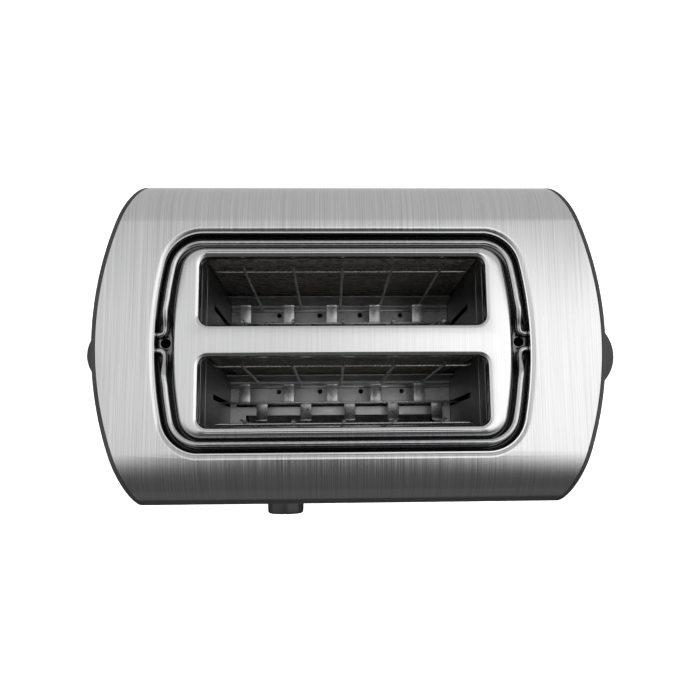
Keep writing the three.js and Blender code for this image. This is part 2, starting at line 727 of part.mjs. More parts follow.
function addCarriage() {
  const [frontRib, rearRib] = slotMiddles.map((y) => y + ribOffset);
  piece('front_rib', ribGeometry(frontRib), galvanised, works);
  piece('rear_rib', ribGeometry(rearRib), galvanised, works);
  const bottom = ribTop - ribHeight;
  const leverLocalY = leverY - slotsY;
  const leverArmEnd = capOuter - slotsX - leverArmShort;
  const sheet = [bridgeX, bridgeX + bridgeSheet];
  const earX = [bridgeX, guideRodX + bushHalfWidth];
  const earZ = leverZ - earBelowLever;
  const neckFront = leverLocalY - bridgeNeckHalfWidth;
  const bushRear = guideY + bushHalfWidth;
  const bridge = join(
    block(sheet, [frontRib - bridgeOverhang, rearRib + bridgeOverhang], [bottom, ribTop + bridgeOverhang]),
    block(sheet, [neckFront, leverLocalY + bridgeNeckHalfWidth], [bottom, leverZ + leverArmHalfHeight]),
    block(
      [bridgeX, leverArmEnd],
      about(leverLocalY, leverArmSheet),
      [leverZ - leverArmHalfHeight, leverZ + leverArmHalfHeight],
    ),
    block(earX, about(guideY, 2 * bushHalfWidth), [ribTop, ribTop + bridgeSheet]),
    block(earX, about(guideY, 2 * bushHalfWidth), [earZ, earZ + bridgeSheet]),
    block(sheet, [neckFront, bushRear], [earZ - bushHalfWidth, earZ + bridgeOverhang]),
  );
  const boreLine = [bottom - overlap, topHeight].map((z) => [guideRodX, guideY, z]);
  const bore = bar(guideRodDiameter + 2 * gap, ...boreLine);
  piece('carriage_bridge', cut(bridge, bore), galvanised, works);
  const keeperX = [bridgeX + bridgeSheet + gap, bridgeX + keeperReach];
  const keeper = block(keeperX, about(keeperY, 2 * keeperHalfWidth), [bottom, bottom + keeperThickness]);
  piece('magnet_keeper', keeper, springSteel, works);
  const knob = leverKnob(1, leverLocalY, leverZ, leverKnobWidth, leverKnobHeight, leverKnobOut);
  piece('bread_lever_knob', cut(knob, leverSocket(1, leverLocalY, leverZ, leverArmEnd)), blackPlastic, works);
}

// the space for a lever's arm inside its knob
function leverSocket(side, y, z, armEnd) {
  return block(sidePair(side, 0, armEnd + gap), about(y, leverArmSheet + 2 * gap),
    [z - leverArmHalfHeight - gap, z + leverArmHalfHeight + gap]);
}

// a thumb knob with a lens-shaped plan, and a neck that passes through the slit in the end cap
function leverKnob(side, y, z, width, height, out) {
  const face = capOuter - side * slotsX + gap;
  const thick = out - gap;
  const radius = ((width / 2) ** 2 + thick ** 2) / (2 * thick);
  const spread = Math.asin(width / 2 / radius);
  const turn = side > 0 ? 0 : Math.PI;
  const shape = new THREE.Shape();
  shape.absarc(side * (face + thick - radius), y, radius, turn - spread, turn + spread);
  const neck = block(
    sidePair(side, face - leverNeckLength, face + leverNeckRoot),
    about(y, leverSlitWidth - 2 * leverNeckPlay),
    [z - leverNeckHalfHeight, z + leverNeckHalfHeight],
  );
  return join(upright(shape, z - height / 2, z + height / 2, 10), neck);
}

function addLatch() {
  const rodLine = [panFloorTop + gap, chassisTop - 2 * overlap].map((z) => [guideRodX, guideY, z]);
  piece('guide_rod', bar(guideRodDiameter, ...rodLine), chromeRod, works);
  const magnetTop = ribTop - ribHeight - carriageTravel - gap;
  const coilTop = magnetTop - magnetPole;
  const core = join(
    bar(magnetDiameter, [guideRodX, keeperY, chassisFoot + overlap], [guideRodX, keeperY, coilTop]),
    block(
      about(guideRodX, 2 * magnetSeatHalfX),
      about(keeperY, 2 * magnetSeatHalfY),
      [chassisFoot, chassisFoot + magnetSeatSheet],
    ),
    bar(magnetPoleDiameter, [guideRodX, keeperY, coilTop - overlap], [guideRodX, keeperY, magnetTop], 12),
  );
  piece('latch_magnet', core, magnetPaint, works);
  const boardLow = panFloorTop + powerBoardRaise;
  const board = block(
    powerBoardX.map((x) => cavityHalfLength + x),
    [powerBoardInset - chassisHalfDepth, keeperY - powerBoardBehind],
    [boardLow, boardLow + powerBoardSheet],
  );
  piece('power_board', board, circuitBoard, works);
}

// a coil spring that lifts the carriage, hooked over the guide rod's line
function addSpring() {
  const foot = leverZ - springFootBelowLever;
  const rise = topHeight - springTopBelow - foot;
  const steps = springTurns * 8;
  const path = new THREE.CatmullRomCurve3(Array.from({ length: steps + 1 }, (unused, step) => {
    const angle = (step / 8) * Math.PI * 2;
    const x = guideRodX + springRadius * Math.cos(angle);
    const y = guideY + springRadius * Math.sin(angle);
    return new THREE.Vector3(x, y, foot + (rise * step) / steps);
  }));
  const section = new THREE.Shape();
  section.absarc(0, 0, springWireDiameter / 2, 0, Math.PI * 2);
  const coil = new THREE.ExtrudeGeometry(section, {
    steps,
    extrudePath: path,
    curveSegments: 3,
    bevelEnabled: false,
  });
  piece('carriage_spring', coil, springSteel, works);
}

// ---------------------------------------------------------------- warming rack
// half of the rack: a rod round one half of the moat, its ends turned out through the deck's wall
function bailGeometry(side) {
  const bowX = rackHalfLength - deckBowRadius;
  const cornerY = rackHalfDepth - rackCorner;
  const cornerX = bowX + Math.sqrt((deckBowRadius - rackCorner) ** 2 - cornerY ** 2);
  const bowAngle = Math.atan2(cornerY, cornerX - bowX);
  const rodZ = topHeight - rackRodBelowTop - rackRodDiameter / 2;
  const points = [];
  const add = (x, y, z) => points.push(new THREE.Vector3(x, side * y, z));
  const pivotX = bowX + deckBowRadius;
  add(moatHalfLength + crankLayer - gap, rackPivotOffset, rackPivotZ);
  add(pivotX + bailBend, rackPivotOffset, rackPivotZ);
  add(pivotX + bailBend * 0.3, rackPivotOffset + bailBend * 0.3, rackPivotZ);
  add(pivotX, rackPivotOffset + bailBend, rackPivotZ + bailBendRise);
  add(pivotX - gap, rackPivotOffset + 3 * bailBend, rodZ);
  for (const share of [0.45, 0.75, 1]) {
    const angle = bowAngle * share;
    add(bowX + deckBowRadius * Math.cos(angle), deckBowRadius * Math.sin(angle), rodZ);
  }
  for (const share of [0.25, 0.5, 0.75, 1]) {
    const angle = bowAngle + (Math.PI / 2 - bowAngle) * share;
    add(cornerX + rackCorner * Math.cos(angle), cornerY + rackCorner * Math.sin(angle), rodZ);
  }
  const mirrored = points.map((point) => new THREE.Vector3(-point.x, point.y, point.z)).reverse();
  const path = new THREE.CatmullRomCurve3([...points, ...mirrored], false, 'catmullrom', 0.1);
  const section = new THREE.Shape();
  section.absarc(0, 0, rackRodDiameter / 2, 0, Math.PI * 2);
  return new THREE.ExtrudeGeometry(section, {
    steps: 72,
    extrudePath: path,
    curveSegments: 4,
    bevelEnabled: false,
  });
}

function addRack() {
  const plateX = [crankX - crankThickness - gap - slidePlateThickness, crankX - crankThickness - gap];
  for (const [name, side] of [['front', -1], ['rear', 1]]) {
    piece(`${name}_rack_bail`, bailGeometry(side), chromeRod, works);
    piece(`${name}_rack_crank`, crankGeometry(side, plateX), galvanised, works);
  }
  const pinRestY = rackPivotOffset + crankArm * Math.cos(THREE.MathUtils.degToRad(crankRestAngle));
  const pinRestZ = rackPivotZ + pinTravelLow - rackPinClearance * 0.7;
  const slotHalf = crankPinDiameter / 2 + rackPinClearance;
  const slotFar = rackPivotOffset + crankArm + crankPinDiameter;
  const slots = [-1, 1].map((side) => block(
    [plateX[0] - overlap, plateX[1] + overlap],
    sidePair(side, pinRestY - crankPinDiameter, slotFar),
    [pinRestZ - slotHalf, pinRestZ + slotHalf],
  ));
  const plateZ = [pinRestZ - slotHalf - slidePlateBelowSlot, pinRestZ + slotHalf + slidePlateAboveSlot];
  const armEnd = capOuter + slotsX - leverArmShort;
  const armZ = [rackKnobZ - leverArmHalfHeight, rackKnobZ + leverArmHalfHeight];
  const slide = join(
    block(plateX, [-slidePlateHalfWidth, slidePlateHalfWidth], plateZ),
    block(plateX, [-slideNeckHalfWidth, slideNeckHalfWidth], [rackKnobZ - rackKnobHeight / 2, pinRestZ]),
    block([-armEnd, plateX[1]], about(rackKnobY, leverArmSheet), armZ),
  );
  piece('rack_slide_plate', cut(slide, ...slots), galvanised, works);
  const knob = leverKnob(-1, rackKnobY, rackKnobZ, rackKnobWidth, rackKnobHeight, rackKnobOut);
  piece('rack_lever_knob', cut(knob, leverSocket(-1, rackKnobY, rackKnobZ, armEnd)), blackPlastic, works);
}

// a crank on the end of a bail, with a pin that runs in a slot of the slide plate
function crankGeometry(side, plateX) {
  const angle = THREE.MathUtils.degToRad(crankRestAngle);
  const y = side * rackPivotOffset;
  const z = rackPivotZ;
  const pinY = y + side * crankArm * Math.cos(angle);
  const pinZ = z + crankArm * Math.sin(angle);
  const x = [crankX - crankThickness, crankX];
  const acrossY = -Math.sin(angle) * side;
  const acrossZ = Math.cos(angle);
  const [hubWaist, eyeWaist] = crankWaist;
  const arm = new THREE.Shape();
  arm.moveTo(y + acrossY * hubWaist, z + acrossZ * hubWaist);
  arm.lineTo(y - acrossY * hubWaist, z - acrossZ * hubWaist);
  arm.lineTo(pinY - acrossY * eyeWaist, pinZ - acrossZ * eyeWaist);
  arm.lineTo(pinY + acrossY * eyeWaist, pinZ + acrossZ * eyeWaist);
  return join(
    bar(crankHubDiameter, [x[0], y, z], [x[1], y, z], 12),
    bar(crankEyeDiameter, [x[0], pinY, pinZ], [x[1], pinY, pinZ], 12),
    lengthwise(arm, x[0], x[1]),
    bar(crankPinDiameter, [plateX[0] - 2 * gap, pinY, pinZ], [x[0] + gap, pinY, pinZ], 10),
  );
}

// ---------------------------------------------------------------- controls
function buttonPlaces() {
  return [0, 1, 2].map((index) => buttonFirstX + index * buttonPitch);
}

function addControls() {
  addBrowningControl();
  addButtons();
  const places = buttonPlaces();
  const boardX = [knobX - controlBoardMargin[0], places[places.length - 1] + controlBoardMargin[1]];
  const boardZ = [knobZ - controlBoardBelow, knobZ + controlBoardAbove];
  const board = join(
    block(boardX, about(controlBoardY, controlBoardSheet), boardZ),
    ...places.map((x) => block(
      about(x, 2 * switchHalf),
      [controlBoardY - switchDepth, controlBoardY],
      [knobZ - switchHalf, knobZ + switchHalf],
    )),
  );
  piece('control_board', board, circuitBoard);
}

function addBrowningControl() {
  const along = (diameter, front, rear, sides) => bar(
    diameter, [knobX, front, knobZ], [knobX, rear, knobZ], sides);
  const face = wall - knobOut;
  const shaftEnd = face + shaftInKnob;
  const skirt = wall - knobSkirt;
  const knob = join(
    along(knobDiameter, face + knobRim, skirt, 32),
    along(knobDiameter - 2 * knobRim, face, skirt, 32),
  );
  const pointer = block(
    about(knobX, pointerWidth),
    [face - overlap, face + pointerDepth],
    pointerReach.map((height) => knobZ + height),
  );
  const socket = along(shaftDiameter + 2 * gap, shaftEnd - gap, wall, 16);
  piece('browning_knob', cut(knob, socket, pointer), glossPlastic);
  const potRear = controlBoardY - controlBoardSheet / 2 - gap;
  const potFront = potRear - potDepth;
  piece('knob_shaft', along(shaftDiameter, shaftEnd, potFront - gap, 16), galvanised);
  const ring = cut(
    along(knobDiameter + knobRingMargin, skirt + gap, wall - gap, 32),
    along(shaftHoleDiameter, face, wall + overlap, 16),
  );
  piece('knob_ring', ring, polishedSteel);
  const pot = cut(
    along(potDiameter, potFront, potRear, 20),
    along(shaftDiameter + 2 * gap, potFront - overlap, potFront + potBoreDepth, 16),
  );
  piece('browning_potentiometer', pot, galvanised);
}

function addButtons() {
  const stemEnd = controlBoardY - switchDepth - buttonTravel - gap;
  for (const [index, name] of ['cancel_button', 'defrost_button', 'reheat_button'].entries()) {
    const x = buttonPlaces()[index];
    const along = (diameter, front, rear, sides) => bar(
      diameter, [x, wall + front, knobZ], [x, wall + rear, knobZ], sides);
    const cap = join(
      along(buttonDiameter - 4 * gap, -buttonOut, buttonFlangeFar, 20),
      along(buttonDiameter + buttonFlange, buttonFlangeNear, buttonFlangeFar, 20),
      along(buttonStemDiameter, buttonFlangeFar - overlap, stemEnd - wall, 12),
    );
    piece(name, cap, glossPlastic);
  }
  const half = buttonDiameter / 2 + bezelMargin;
  const first = buttonFirstX - half;
  const last = buttonFirstX + 2 * buttonPitch + half;
  const outline = roundedBox([first, last], [knobZ - half, knobZ + half], half - gap);
  const holes = buttonPlaces().map((x) => bar(
    buttonDiameter, [x, wall - bezelThickness - overlap, knobZ], [x, wall + overlap, knobZ], 20));
  piece('button_bezel', cut(crosswise(outline, wall - bezelThickness, wall - gap), ...holes), glossPlastic);
}

function addCordGland() {
  const outer = bodyHalfDepth;
  const along = (diameter, front, rear, sides = 20) => bar(
    diameter, [glandX, outer + front, glandZ], [glandX, outer + rear, glandZ], sides);
  const gland = cut(
    join(
      along(glandNeck + glandFlange, gap, glandHead),
      along(glandNeck, overlap - glandDepth, overlap),
      along(glandNeck + glandFlange - overlap, -glandDepth, -wrapSheet - gap),
    ),
    along(glandBore, -glandDepth - overlap, glandHead + overlap, 12),
  );
  piece('cord_gland', gland, rubber);
}

addWrap();
addEndCaps();
addDeck();
addBase();
addCrumbTray();
addEndPlates();
addChassisFloor();
addHeatShields();
addHeaters();
addGuards();
addCarriage();
addLatch();
addSpring();
addRack();
addControls();
addCordGland();

// the origin goes under the middle of the overall footprint, at the height of the feet
toaster.updateMatrixWorld(true);
const outline = new THREE.Box3().setFromObject(toaster);
const middle = outline.getCenter(new THREE.Vector3());
toaster.position.set(-middle.x, -middle.y, -outline.min.z);

export default toaster;
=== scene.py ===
"""A two-slot pop-up toaster: the finished surfaces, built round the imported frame.

Metres, +Z up, front towards -Y. What at() and local_block() take is in millimetres.
"""
import json
import math

import bmesh
import bpy
from mathutils import Matrix, Vector


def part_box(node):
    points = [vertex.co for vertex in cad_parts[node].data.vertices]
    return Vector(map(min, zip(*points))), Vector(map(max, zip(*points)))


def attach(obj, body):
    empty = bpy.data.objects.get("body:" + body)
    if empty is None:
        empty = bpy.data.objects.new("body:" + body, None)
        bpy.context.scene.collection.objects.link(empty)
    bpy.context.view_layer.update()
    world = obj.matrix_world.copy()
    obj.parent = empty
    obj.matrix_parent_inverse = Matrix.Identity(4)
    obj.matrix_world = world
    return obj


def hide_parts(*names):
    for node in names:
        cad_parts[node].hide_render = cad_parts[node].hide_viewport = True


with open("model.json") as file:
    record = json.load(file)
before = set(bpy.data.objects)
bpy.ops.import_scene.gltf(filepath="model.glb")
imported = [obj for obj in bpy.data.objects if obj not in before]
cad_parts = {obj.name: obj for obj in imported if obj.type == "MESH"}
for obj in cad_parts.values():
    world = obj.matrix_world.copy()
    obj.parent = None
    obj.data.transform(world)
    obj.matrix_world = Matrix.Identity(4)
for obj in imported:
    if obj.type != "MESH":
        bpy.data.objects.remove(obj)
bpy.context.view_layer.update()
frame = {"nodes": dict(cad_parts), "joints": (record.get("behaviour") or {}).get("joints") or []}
nodes = frame["nodes"]
MM = 0.001


def span(node):
    """Lowest corner, highest corner and middle of a CAD node."""
    low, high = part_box(node)
    return low, high, (low + high) / 2


# ------------------------------------------------------------------ sizes read from the frame
wrap_low, wrap_high, wrap_mid = span("outer_wrap")
deck_low, _, deck_mid = span("top_deck")
top = wrap_high.z
slots_x, slots_y = deck_mid.x, deck_mid.y
body_x, body_y = wrap_mid.x, wrap_mid.y
half_length = (wrap_high.x - wrap_low.x) / 2
half_depth = (wrap_high.y - wrap_low.y) / 2
cap_proud = span("right_end_cap")[1].x - wrap_high.x
floor_below = (top - span("chassis_floor")[1].z) / MM
pan_top = span("base_pan")[1].z

# sizes that the frame's boxes don't give
deck_bow = 198                   # millimetres
bow_radius = deck_bow * MM       # the deck's ends
body_bow = 175 * MM              # the body's ends
shoulder = 25.6 * MM
sheet = 0.8 * MM
clear_of_all = 10 * MM           # how far a cutter runs past the body
moat_length, moat_depth, moat_corner = 94.9 * MM, 56.2 * MM, 20 * MM
island_length, island_depth, island_corner = 85.7 * MM, 48.5 * MM, 12 * MM
slot_length, slot_half, slot_corner = 72.5 * MM, 17.6 * MM, 5 * MM
slot_middle = 25.55              # millimetres, from the middle of the deck
slot_offset = slot_middle * MM

# millimetres, from the middle of the slots
slot_middles = (-slot_middle, slot_middle)
guard_offset = 14
rib_slit = 3.2
rib_below = 101
plate_inner = 72.6
floor_reach = 72.3
# name, place along Y and the side that its ribbon is on
heaters = (("front_outer", -46.5, 1), ("front_inner", -4, -1), ("rear_inner", 4, 1), ("rear_outer", 46.5, -1))

forwards, rearwards = (0, -1, 0), (0, 1, 0)


def nothing_selected():
    bpy.ops.object.select_all(action="DESELECT")


nothing_selected()


# ------------------------------------------------------------------ finishes
def finish(name, colour, roughness, metallic=0.0):
    """A new material with its shader and an Object coordinate, ready for its pattern."""
    material = bpy.data.materials.new(name)
    material.use_nodes = True
    tree = material.node_tree
    shader = tree.nodes["Principled BSDF"]
    shader.inputs["Base Color"].default_value = (*colour, 1)
    shader.inputs["Roughness"].default_value = roughness
    shader.inputs["Metallic"].default_value = metallic
    place = tree.nodes.new("ShaderNodeTexCoord").outputs["Object"]
    return material, tree, shader, place


def noise(tree, place, stretch, detail=3.0, rough=0.55):
    """Noise in the piece's own place, stretched by how often it repeats along X, Y and Z (per metre)."""
    mapping = tree.nodes.new("ShaderNodeMapping")
    mapping.inputs["Scale"].default_value = stretch
    tree.links.new(place, mapping.inputs["Vector"])
    texture = tree.nodes.new("ShaderNodeTexNoise")
    texture.inputs["Scale"].default_value = 1.0
    texture.inputs["Detail"].default_value = detail
    texture.inputs["Roughness"].default_value = rough
    tree.links.new(mapping.outputs["Vector"], texture.inputs["Vector"])
    return texture.outputs["Fac"]


def spread(tree, value, low, high):
    """A noise's middle range spread over low to high."""
    ramp = tree.nodes.new("ShaderNodeMapRange")
    ramp.inputs["From Min"].default_value = 0.3
    ramp.inputs["From Max"].default_value = 0.7
    ramp.inputs["To Min"].default_value = low
    ramp.inputs["To Max"].default_value = high
    tree.links.new(value, ramp.inputs["Value"])
    return ramp.outputs["Result"]


def tint(tree, shader, value, dark, light):
    """The base colour runs from dark to light with value."""
    ramp = tree.nodes.new("ShaderNodeValToRGB")
    ramp.color_ramp.elements[0].position = 0.3
    ramp.color_ramp.elements[0].color = (*dark, 1)
    ramp.color_ramp.elements[1].position = 0.7
    ramp.color_ramp.elements[1].color = (*light, 1)
    tree.links.new(value, ramp.inputs["Fac"])
    tree.links.new(ramp.outputs["Color"], shader.inputs["Base Color"])


def relief(tree, shader, value, depth, strength=1.0):
    bump = tree.nodes.new("ShaderNodeBump")
    bump.inputs["Strength"].default_value = strength
    bump.inputs["Distance"].default_value = depth
    tree.links.new(value, bump.inputs["Height"])
    tree.links.new(bump.outputs["Normal"], shader.inputs["Normal"])


def brushed_steel(name, dark, light, rough_low, rough_high, stretch, anisotropy=0.75, depth=4e-6):
    """Steel with fine brush lines: the noise is long along the lines and fine across them."""
    material, tree, shader, place = finish(name, light, rough_low, 1.0)
    lines = noise(tree, place, stretch, 4.0, 0.7)
    clouds = noise(tree, place, (9, 9, 9), 2.0, 0.5)
    tint(tree, shader, lines, dark, light)
    both = tree.nodes.new("ShaderNodeMath")
    both.operation = "ADD"
    tree.links.new(spread(tree, lines, rough_low, rough_high), both.inputs[0])
    tree.links.new(spread(tree, clouds, -0.02, 0.03), both.inputs[1])
    tree.links.new(both.outputs[0], shader.inputs["Roughness"])
    shader.inputs["Anisotropic"].default_value = anisotropy
    tangent = tree.nodes.new("ShaderNodeCombineXYZ")
    tangent.inputs["X"].default_value = 1
    tree.links.new(tangent.outputs[0], shader.inputs["Tangent"])
    relief(tree, shader, lines, depth, 0.6)
    return material


def sheet_steel(name, dark, light, roughness, grain=260.0, depth=6e-6):
    """Plain or zinc-coated sheet: soft mottling and a few finer marks."""
    material, tree, shader, place = finish(name, light, roughness, 1.0)
    mottle = noise(tree, place, (grain, grain, grain), 4.0, 0.6)
    tint(tree, shader, mottle, dark, light)
    tree.links.new(spread(tree, mottle, roughness - 0.07, roughness + 0.1), shader.inputs["Roughness"])
    relief(tree, shader, noise(tree, place, (90, 90, 90), 3.0), depth * 4, 0.5)
    return material


def moulded(name, dark, light, roughness, grain, depth):
    """Moulded plastic or rubber with a fine spark-eroded grain."""
    material, tree, shader, place = finish(name, light, roughness)
    fine = noise(tree, place, (grain, grain, grain), 2.0)
    tint(tree, shader, noise(tree, place, (30, 30, 30), 3.0), dark, light)
    tree.links.new(spread(tree, fine, roughness - 0.05, roughness + 0.08), shader.inputs["Roughness"])
    relief(tree, shader, fine, depth, 0.5)
    return material


def darkened_below(material, start, end, least):
    """The base colour fades to a share of itself between two heights: painted shade inside a channel or well."""
    tree = material.node_tree
    shader = tree.nodes["Principled BSDF"]
    source = shader.inputs["Base Color"].links[0].from_socket
    split = tree.nodes.new("ShaderNodeSeparateXYZ")
    tree.links.new(tree.nodes.new("ShaderNodeTexCoord").outputs["Object"], split.inputs[0])
    ramp = tree.nodes.new("ShaderNodeMapRange")
    ramp.interpolation_type = "SMOOTHSTEP"
    for socket, number in zip(("From Min", "From Max", "To Min", "To Max"), (end, start, least, 1.0)):
        ramp.inputs[socket].default_value = number
    tree.links.new(split.outputs["Z"], ramp.inputs["Value"])
    scale = tree.nodes.new("ShaderNodeVectorMath")
    scale.operation = "SCALE"
    tree.links.new(source, scale.inputs[0])
    tree.links.new(ramp.outputs["Result"], scale.inputs["Scale"])
    tree.links.new(scale.outputs[0], shader.inputs["Base Color"])


def mica_sheet():
    """Pressed mica: dark flakes with a dull sheen."""
    material, tree, shader, place = finish("mica_sheet", (0.07, 0.065, 0.06), 0.55)
    flakes = tree.nodes.new("ShaderNodeTexVoronoi")
    flakes.inputs["Scale"].default_value = 420.0
    tree.links.new(place, flakes.inputs["Vector"])
    tint(tree, shader, flakes.outputs["Color"], (0.062, 0.058, 0.054), (0.17, 0.16, 0.145))
    tree.links.new(spread(tree, noise(tree, place, (700, 700, 700)), 0.4, 0.7), shader.inputs["Roughness"])
    relief(tree, shader, flakes.outputs["Distance"], 3e-5, 0.4)
    return material


def board_resist():
    """Green circuit board with faint copper runs under the resist."""
    material, tree, shader, place = finish("board_resist", (0.03, 0.11, 0.05), 0.4)
    runs = tree.nodes.new("ShaderNodeTexWave")
    runs.inputs["Scale"].default_value = 55.0
    runs.inputs["Distortion"].default_value = 9.0
    tree.links.new(place, runs.inputs["Vector"])
    tint(tree, shader, runs.outputs["Fac"], (0.012, 0.06, 0.028), (0.03, 0.13, 0.055))
    relief(tree, shader, runs.outputs["Fac"], 3e-5, 0.5)
    return material


wrap_finish = brushed_steel("wrap_brushed_steel", (0.52, 0.52, 0.525), (0.74, 0.74, 0.745), 0.14, 0.26,
                            (2400, 12, 12))
deck_finish = brushed_steel("deck_polished_steel", (0.62, 0.62, 0.625), (0.72, 0.72, 0.725), 0.10, 0.17,
                            (2200, 14, 14), anisotropy=0.5, depth=2e-6)
chrome_finish = sheet_steel("rack_chrome", (0.46, 0.46, 0.47), (0.58, 0.58, 0.59), 0.10, 400, 1e-6)
wire_finish = sheet_steel("guard_wire_steel", (0.40, 0.40, 0.40), (0.62, 0.62, 0.62), 0.27, 900, 4e-6)
zinc_finish = sheet_steel("zinc_sheet", (0.30, 0.305, 0.31), (0.43, 0.435, 0.44), 0.34, 180, 5e-6)
plate_finish = sheet_steel("end_plate_sheet", (0.17, 0.17, 0.17), (0.28, 0.28, 0.28), 0.40, 140, 8e-6)
floor_finish = sheet_steel("floor_sheet", (0.44, 0.44, 0.445), (0.62, 0.62, 0.625), 0.36, 160, 6e-6)
finger_finish = sheet_steel("carriage_steel", (0.50, 0.50, 0.505), (0.68, 0.68, 0.685), 0.30, 220, 5e-6)
spring_finish = sheet_steel("spring_wire", (0.45, 0.45, 0.47), (0.60, 0.60, 0.62), 0.25, 600, 2e-6)
black_finish = moulded("black_moulding", (0.014, 0.014, 0.015), (0.024, 0.024, 0.026), 0.42, 2600, 2.5e-5)
knob_finish = moulded("knob_moulding", (0.016, 0.016, 0.018), (0.026, 0.026, 0.029), 0.30, 3000, 1e-5)
rubber_finish = moulded("foot_rubber", (0.012, 0.012, 0.012), (0.03, 0.03, 0.03), 0.78, 1500, 4e-5)
coil_finish = moulded("magnet_wrap", (0.03, 0.02, 0.012), (0.07, 0.045, 0.02), 0.45, 900, 6e-5)
ribbon_finish = sheet_steel("heating_ribbon", (0.24, 0.225, 0.21), (0.48, 0.455, 0.43), 0.38, 700, 3e-6)
mark_finish = moulded("pointer_paint", (0.60, 0.60, 0.58), (0.72, 0.72, 0.70), 0.5, 900, 1e-5)
mica_finish = mica_sheet()
board_finish = board_resist()
# painted shade: the deck's colour darkens from 1.6 mm to 5 mm below the top, over the channel and the slot lips
darkened_below(deck_finish, top - 1.6 * MM, top - 5 * MM, 0.22)


# ------------------------------------------------------------------ modelling helpers
def active():
    return bpy.context.active_object


def edit():
    bpy.ops.object.mode_set(mode="EDIT")
    bpy.ops.mesh.select_mode(type="VERT")


def done_editing():
    bpy.ops.object.mode_set(mode="OBJECT")


def select_where(test, kind="verts"):
    """Selects the vertices, edges or faces of the piece in edit mode whose middle passes the test."""
    bpy.ops.mesh.select_mode(type={"verts": "VERT", "edges": "EDGE", "faces": "FACE"}[kind])
    bpy.ops.mesh.select_all(action="DESELECT")
    mesh = bmesh.from_edit_mesh(active().data)
    for element in getattr(mesh, kind):
        corners = [element] if kind == "verts" else element.verts
        middle = sum((corner.co for corner in corners), Vector()) / len(corners)
        if test(middle, element):
            element.select = True
    mesh.select_flush_mode()
    bmesh.update_edit_mesh(active().data)


def pick(piece):
    nothing_selected()
    piece.select_set(True)
    bpy.context.view_layer.objects.active = piece


def freeze(piece):
    """Puts a piece's place, turn and size into its mesh."""
    pick(piece)
    bpy.ops.object.transform_apply(location=True, rotation=True, scale=True)
    return piece


def apply_all(piece):
    pick(piece)
    for modifier in list(piece.modifiers):
        bpy.ops.object.modifier_apply(modifier=modifier.name)


def bevelled(piece, width, segments=3, angle=30):
    modifier = piece.modifiers.new("edge", "BEVEL")
    modifier.width = width
    modifier.segments = segments
    modifier.limit_method = "ANGLE"
    modifier.angle_limit = math.radians(angle)
    modifier.harden_normals = False
    apply_all(piece)
    return piece


def trimmed(piece, cutter, operation="DIFFERENCE"):
    """Cuts, joins or keeps the common part with another piece, which is then gone."""
    modifier = piece.modifiers.new("cut", "BOOLEAN")
    modifier.operation = operation
    modifier.solver = "EXACT"
    modifier.object = cutter
    apply_all(piece)
    bpy.data.objects.remove(cutter)
    return piece


def smooth(piece, angle=35):
    pick(piece)
    bpy.ops.object.shade_smooth_by_angle(angle=math.radians(angle))


def thickened(piece):
    """Turns a skin into sheet, its thickness on the inner side."""
    thickness = piece.modifiers.new("sheet", "SOLIDIFY")
    thickness.thickness = sheet
    thickness.offset = -1 if top_faces_up(piece) else 1
    apply_all(piece)


def weld(distance=1e-6):
    """Joins the doubled vertices of the piece in edit mode and turns its faces outwards."""
    bpy.ops.mesh.select_all(action="SELECT")
    bpy.ops.mesh.remove_doubles(threshold=distance)
    bpy.ops.mesh.normals_make_consistent(inside=False)


def settle(piece, name, material, body="housing", stands_for=(), angle=35):
    """Names a finished piece, puts its place in its mesh, gives it its finish and the body it moves with."""
    freeze(piece)
    piece.name = name
    piece.data.name = name
    piece.data.materials.clear()
    piece.data.materials.append(material)
    smooth(piece, angle)
    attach(piece, body)
    if stands_for:
        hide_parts(*stands_for)
    return piece


def joined(pieces):
    nothing_selected()
    for piece in pieces:
        piece.select_set(True)
    bpy.context.view_layer.objects.active = pieces[0]
    bpy.ops.object.join()
    return active()


def block(x, y, z, rounding=0.0, segments=2):
    """A box between three pairs of limits."""
    middle = [sum(limits) / 2 for limits in (x, y, z)]
    bpy.ops.mesh.primitive_cube_add(size=1, location=middle)
    piece = active()
    piece.scale = [high - low for low, high in (x, y, z)]
    freeze(piece)
    return bevelled(piece, rounding, segments) if rounding else piece


def turned_to(place, along):
    """A matrix that sets a piece's Z axis at a place, along a direction."""
    return Matrix.Translation(place) @ Vector(along).to_track_quat("Z", "Y").to_matrix().to_4x4()


def bar(radius, start, end, sides=24):
    """A round bar from start to end."""
    start, end = Vector(start), Vector(end)
    bpy.ops.mesh.primitive_cylinder_add(vertices=sides, radius=radius, depth=(end - start).length)
    piece = active()
    piece.matrix_world = turned_to((start + end) / 2, end - start)
    return freeze(piece)


def turned(profile, start, along, sides=48):
    """A lathe-turned piece: (radius, distance) pairs in millimetres, spun round the line from start."""
    bpy.ops.mesh.primitive_plane_add(size=1)
    piece = active()
    edit()
    bpy.ops.mesh.select_all(action="SELECT")
    bpy.ops.mesh.delete(type="VERT")
    mesh = bmesh.from_edit_mesh(piece.data)
    line = [mesh.verts.new((radius * MM, 0, height * MM)) for radius, height in profile]
    for first, second in zip(line, line[1:]):
        mesh.edges.new((first, second))
    bmesh.update_edit_mesh(piece.data)
    bpy.ops.mesh.select_all(action="SELECT")
    bpy.ops.mesh.spin(steps=sides, angle=2 * math.pi, center=(0, 0, 0), axis=(0, 0, 1))
    weld()
    done_editing()
    piece.matrix_world = turned_to(start, along)
    return freeze(piece)


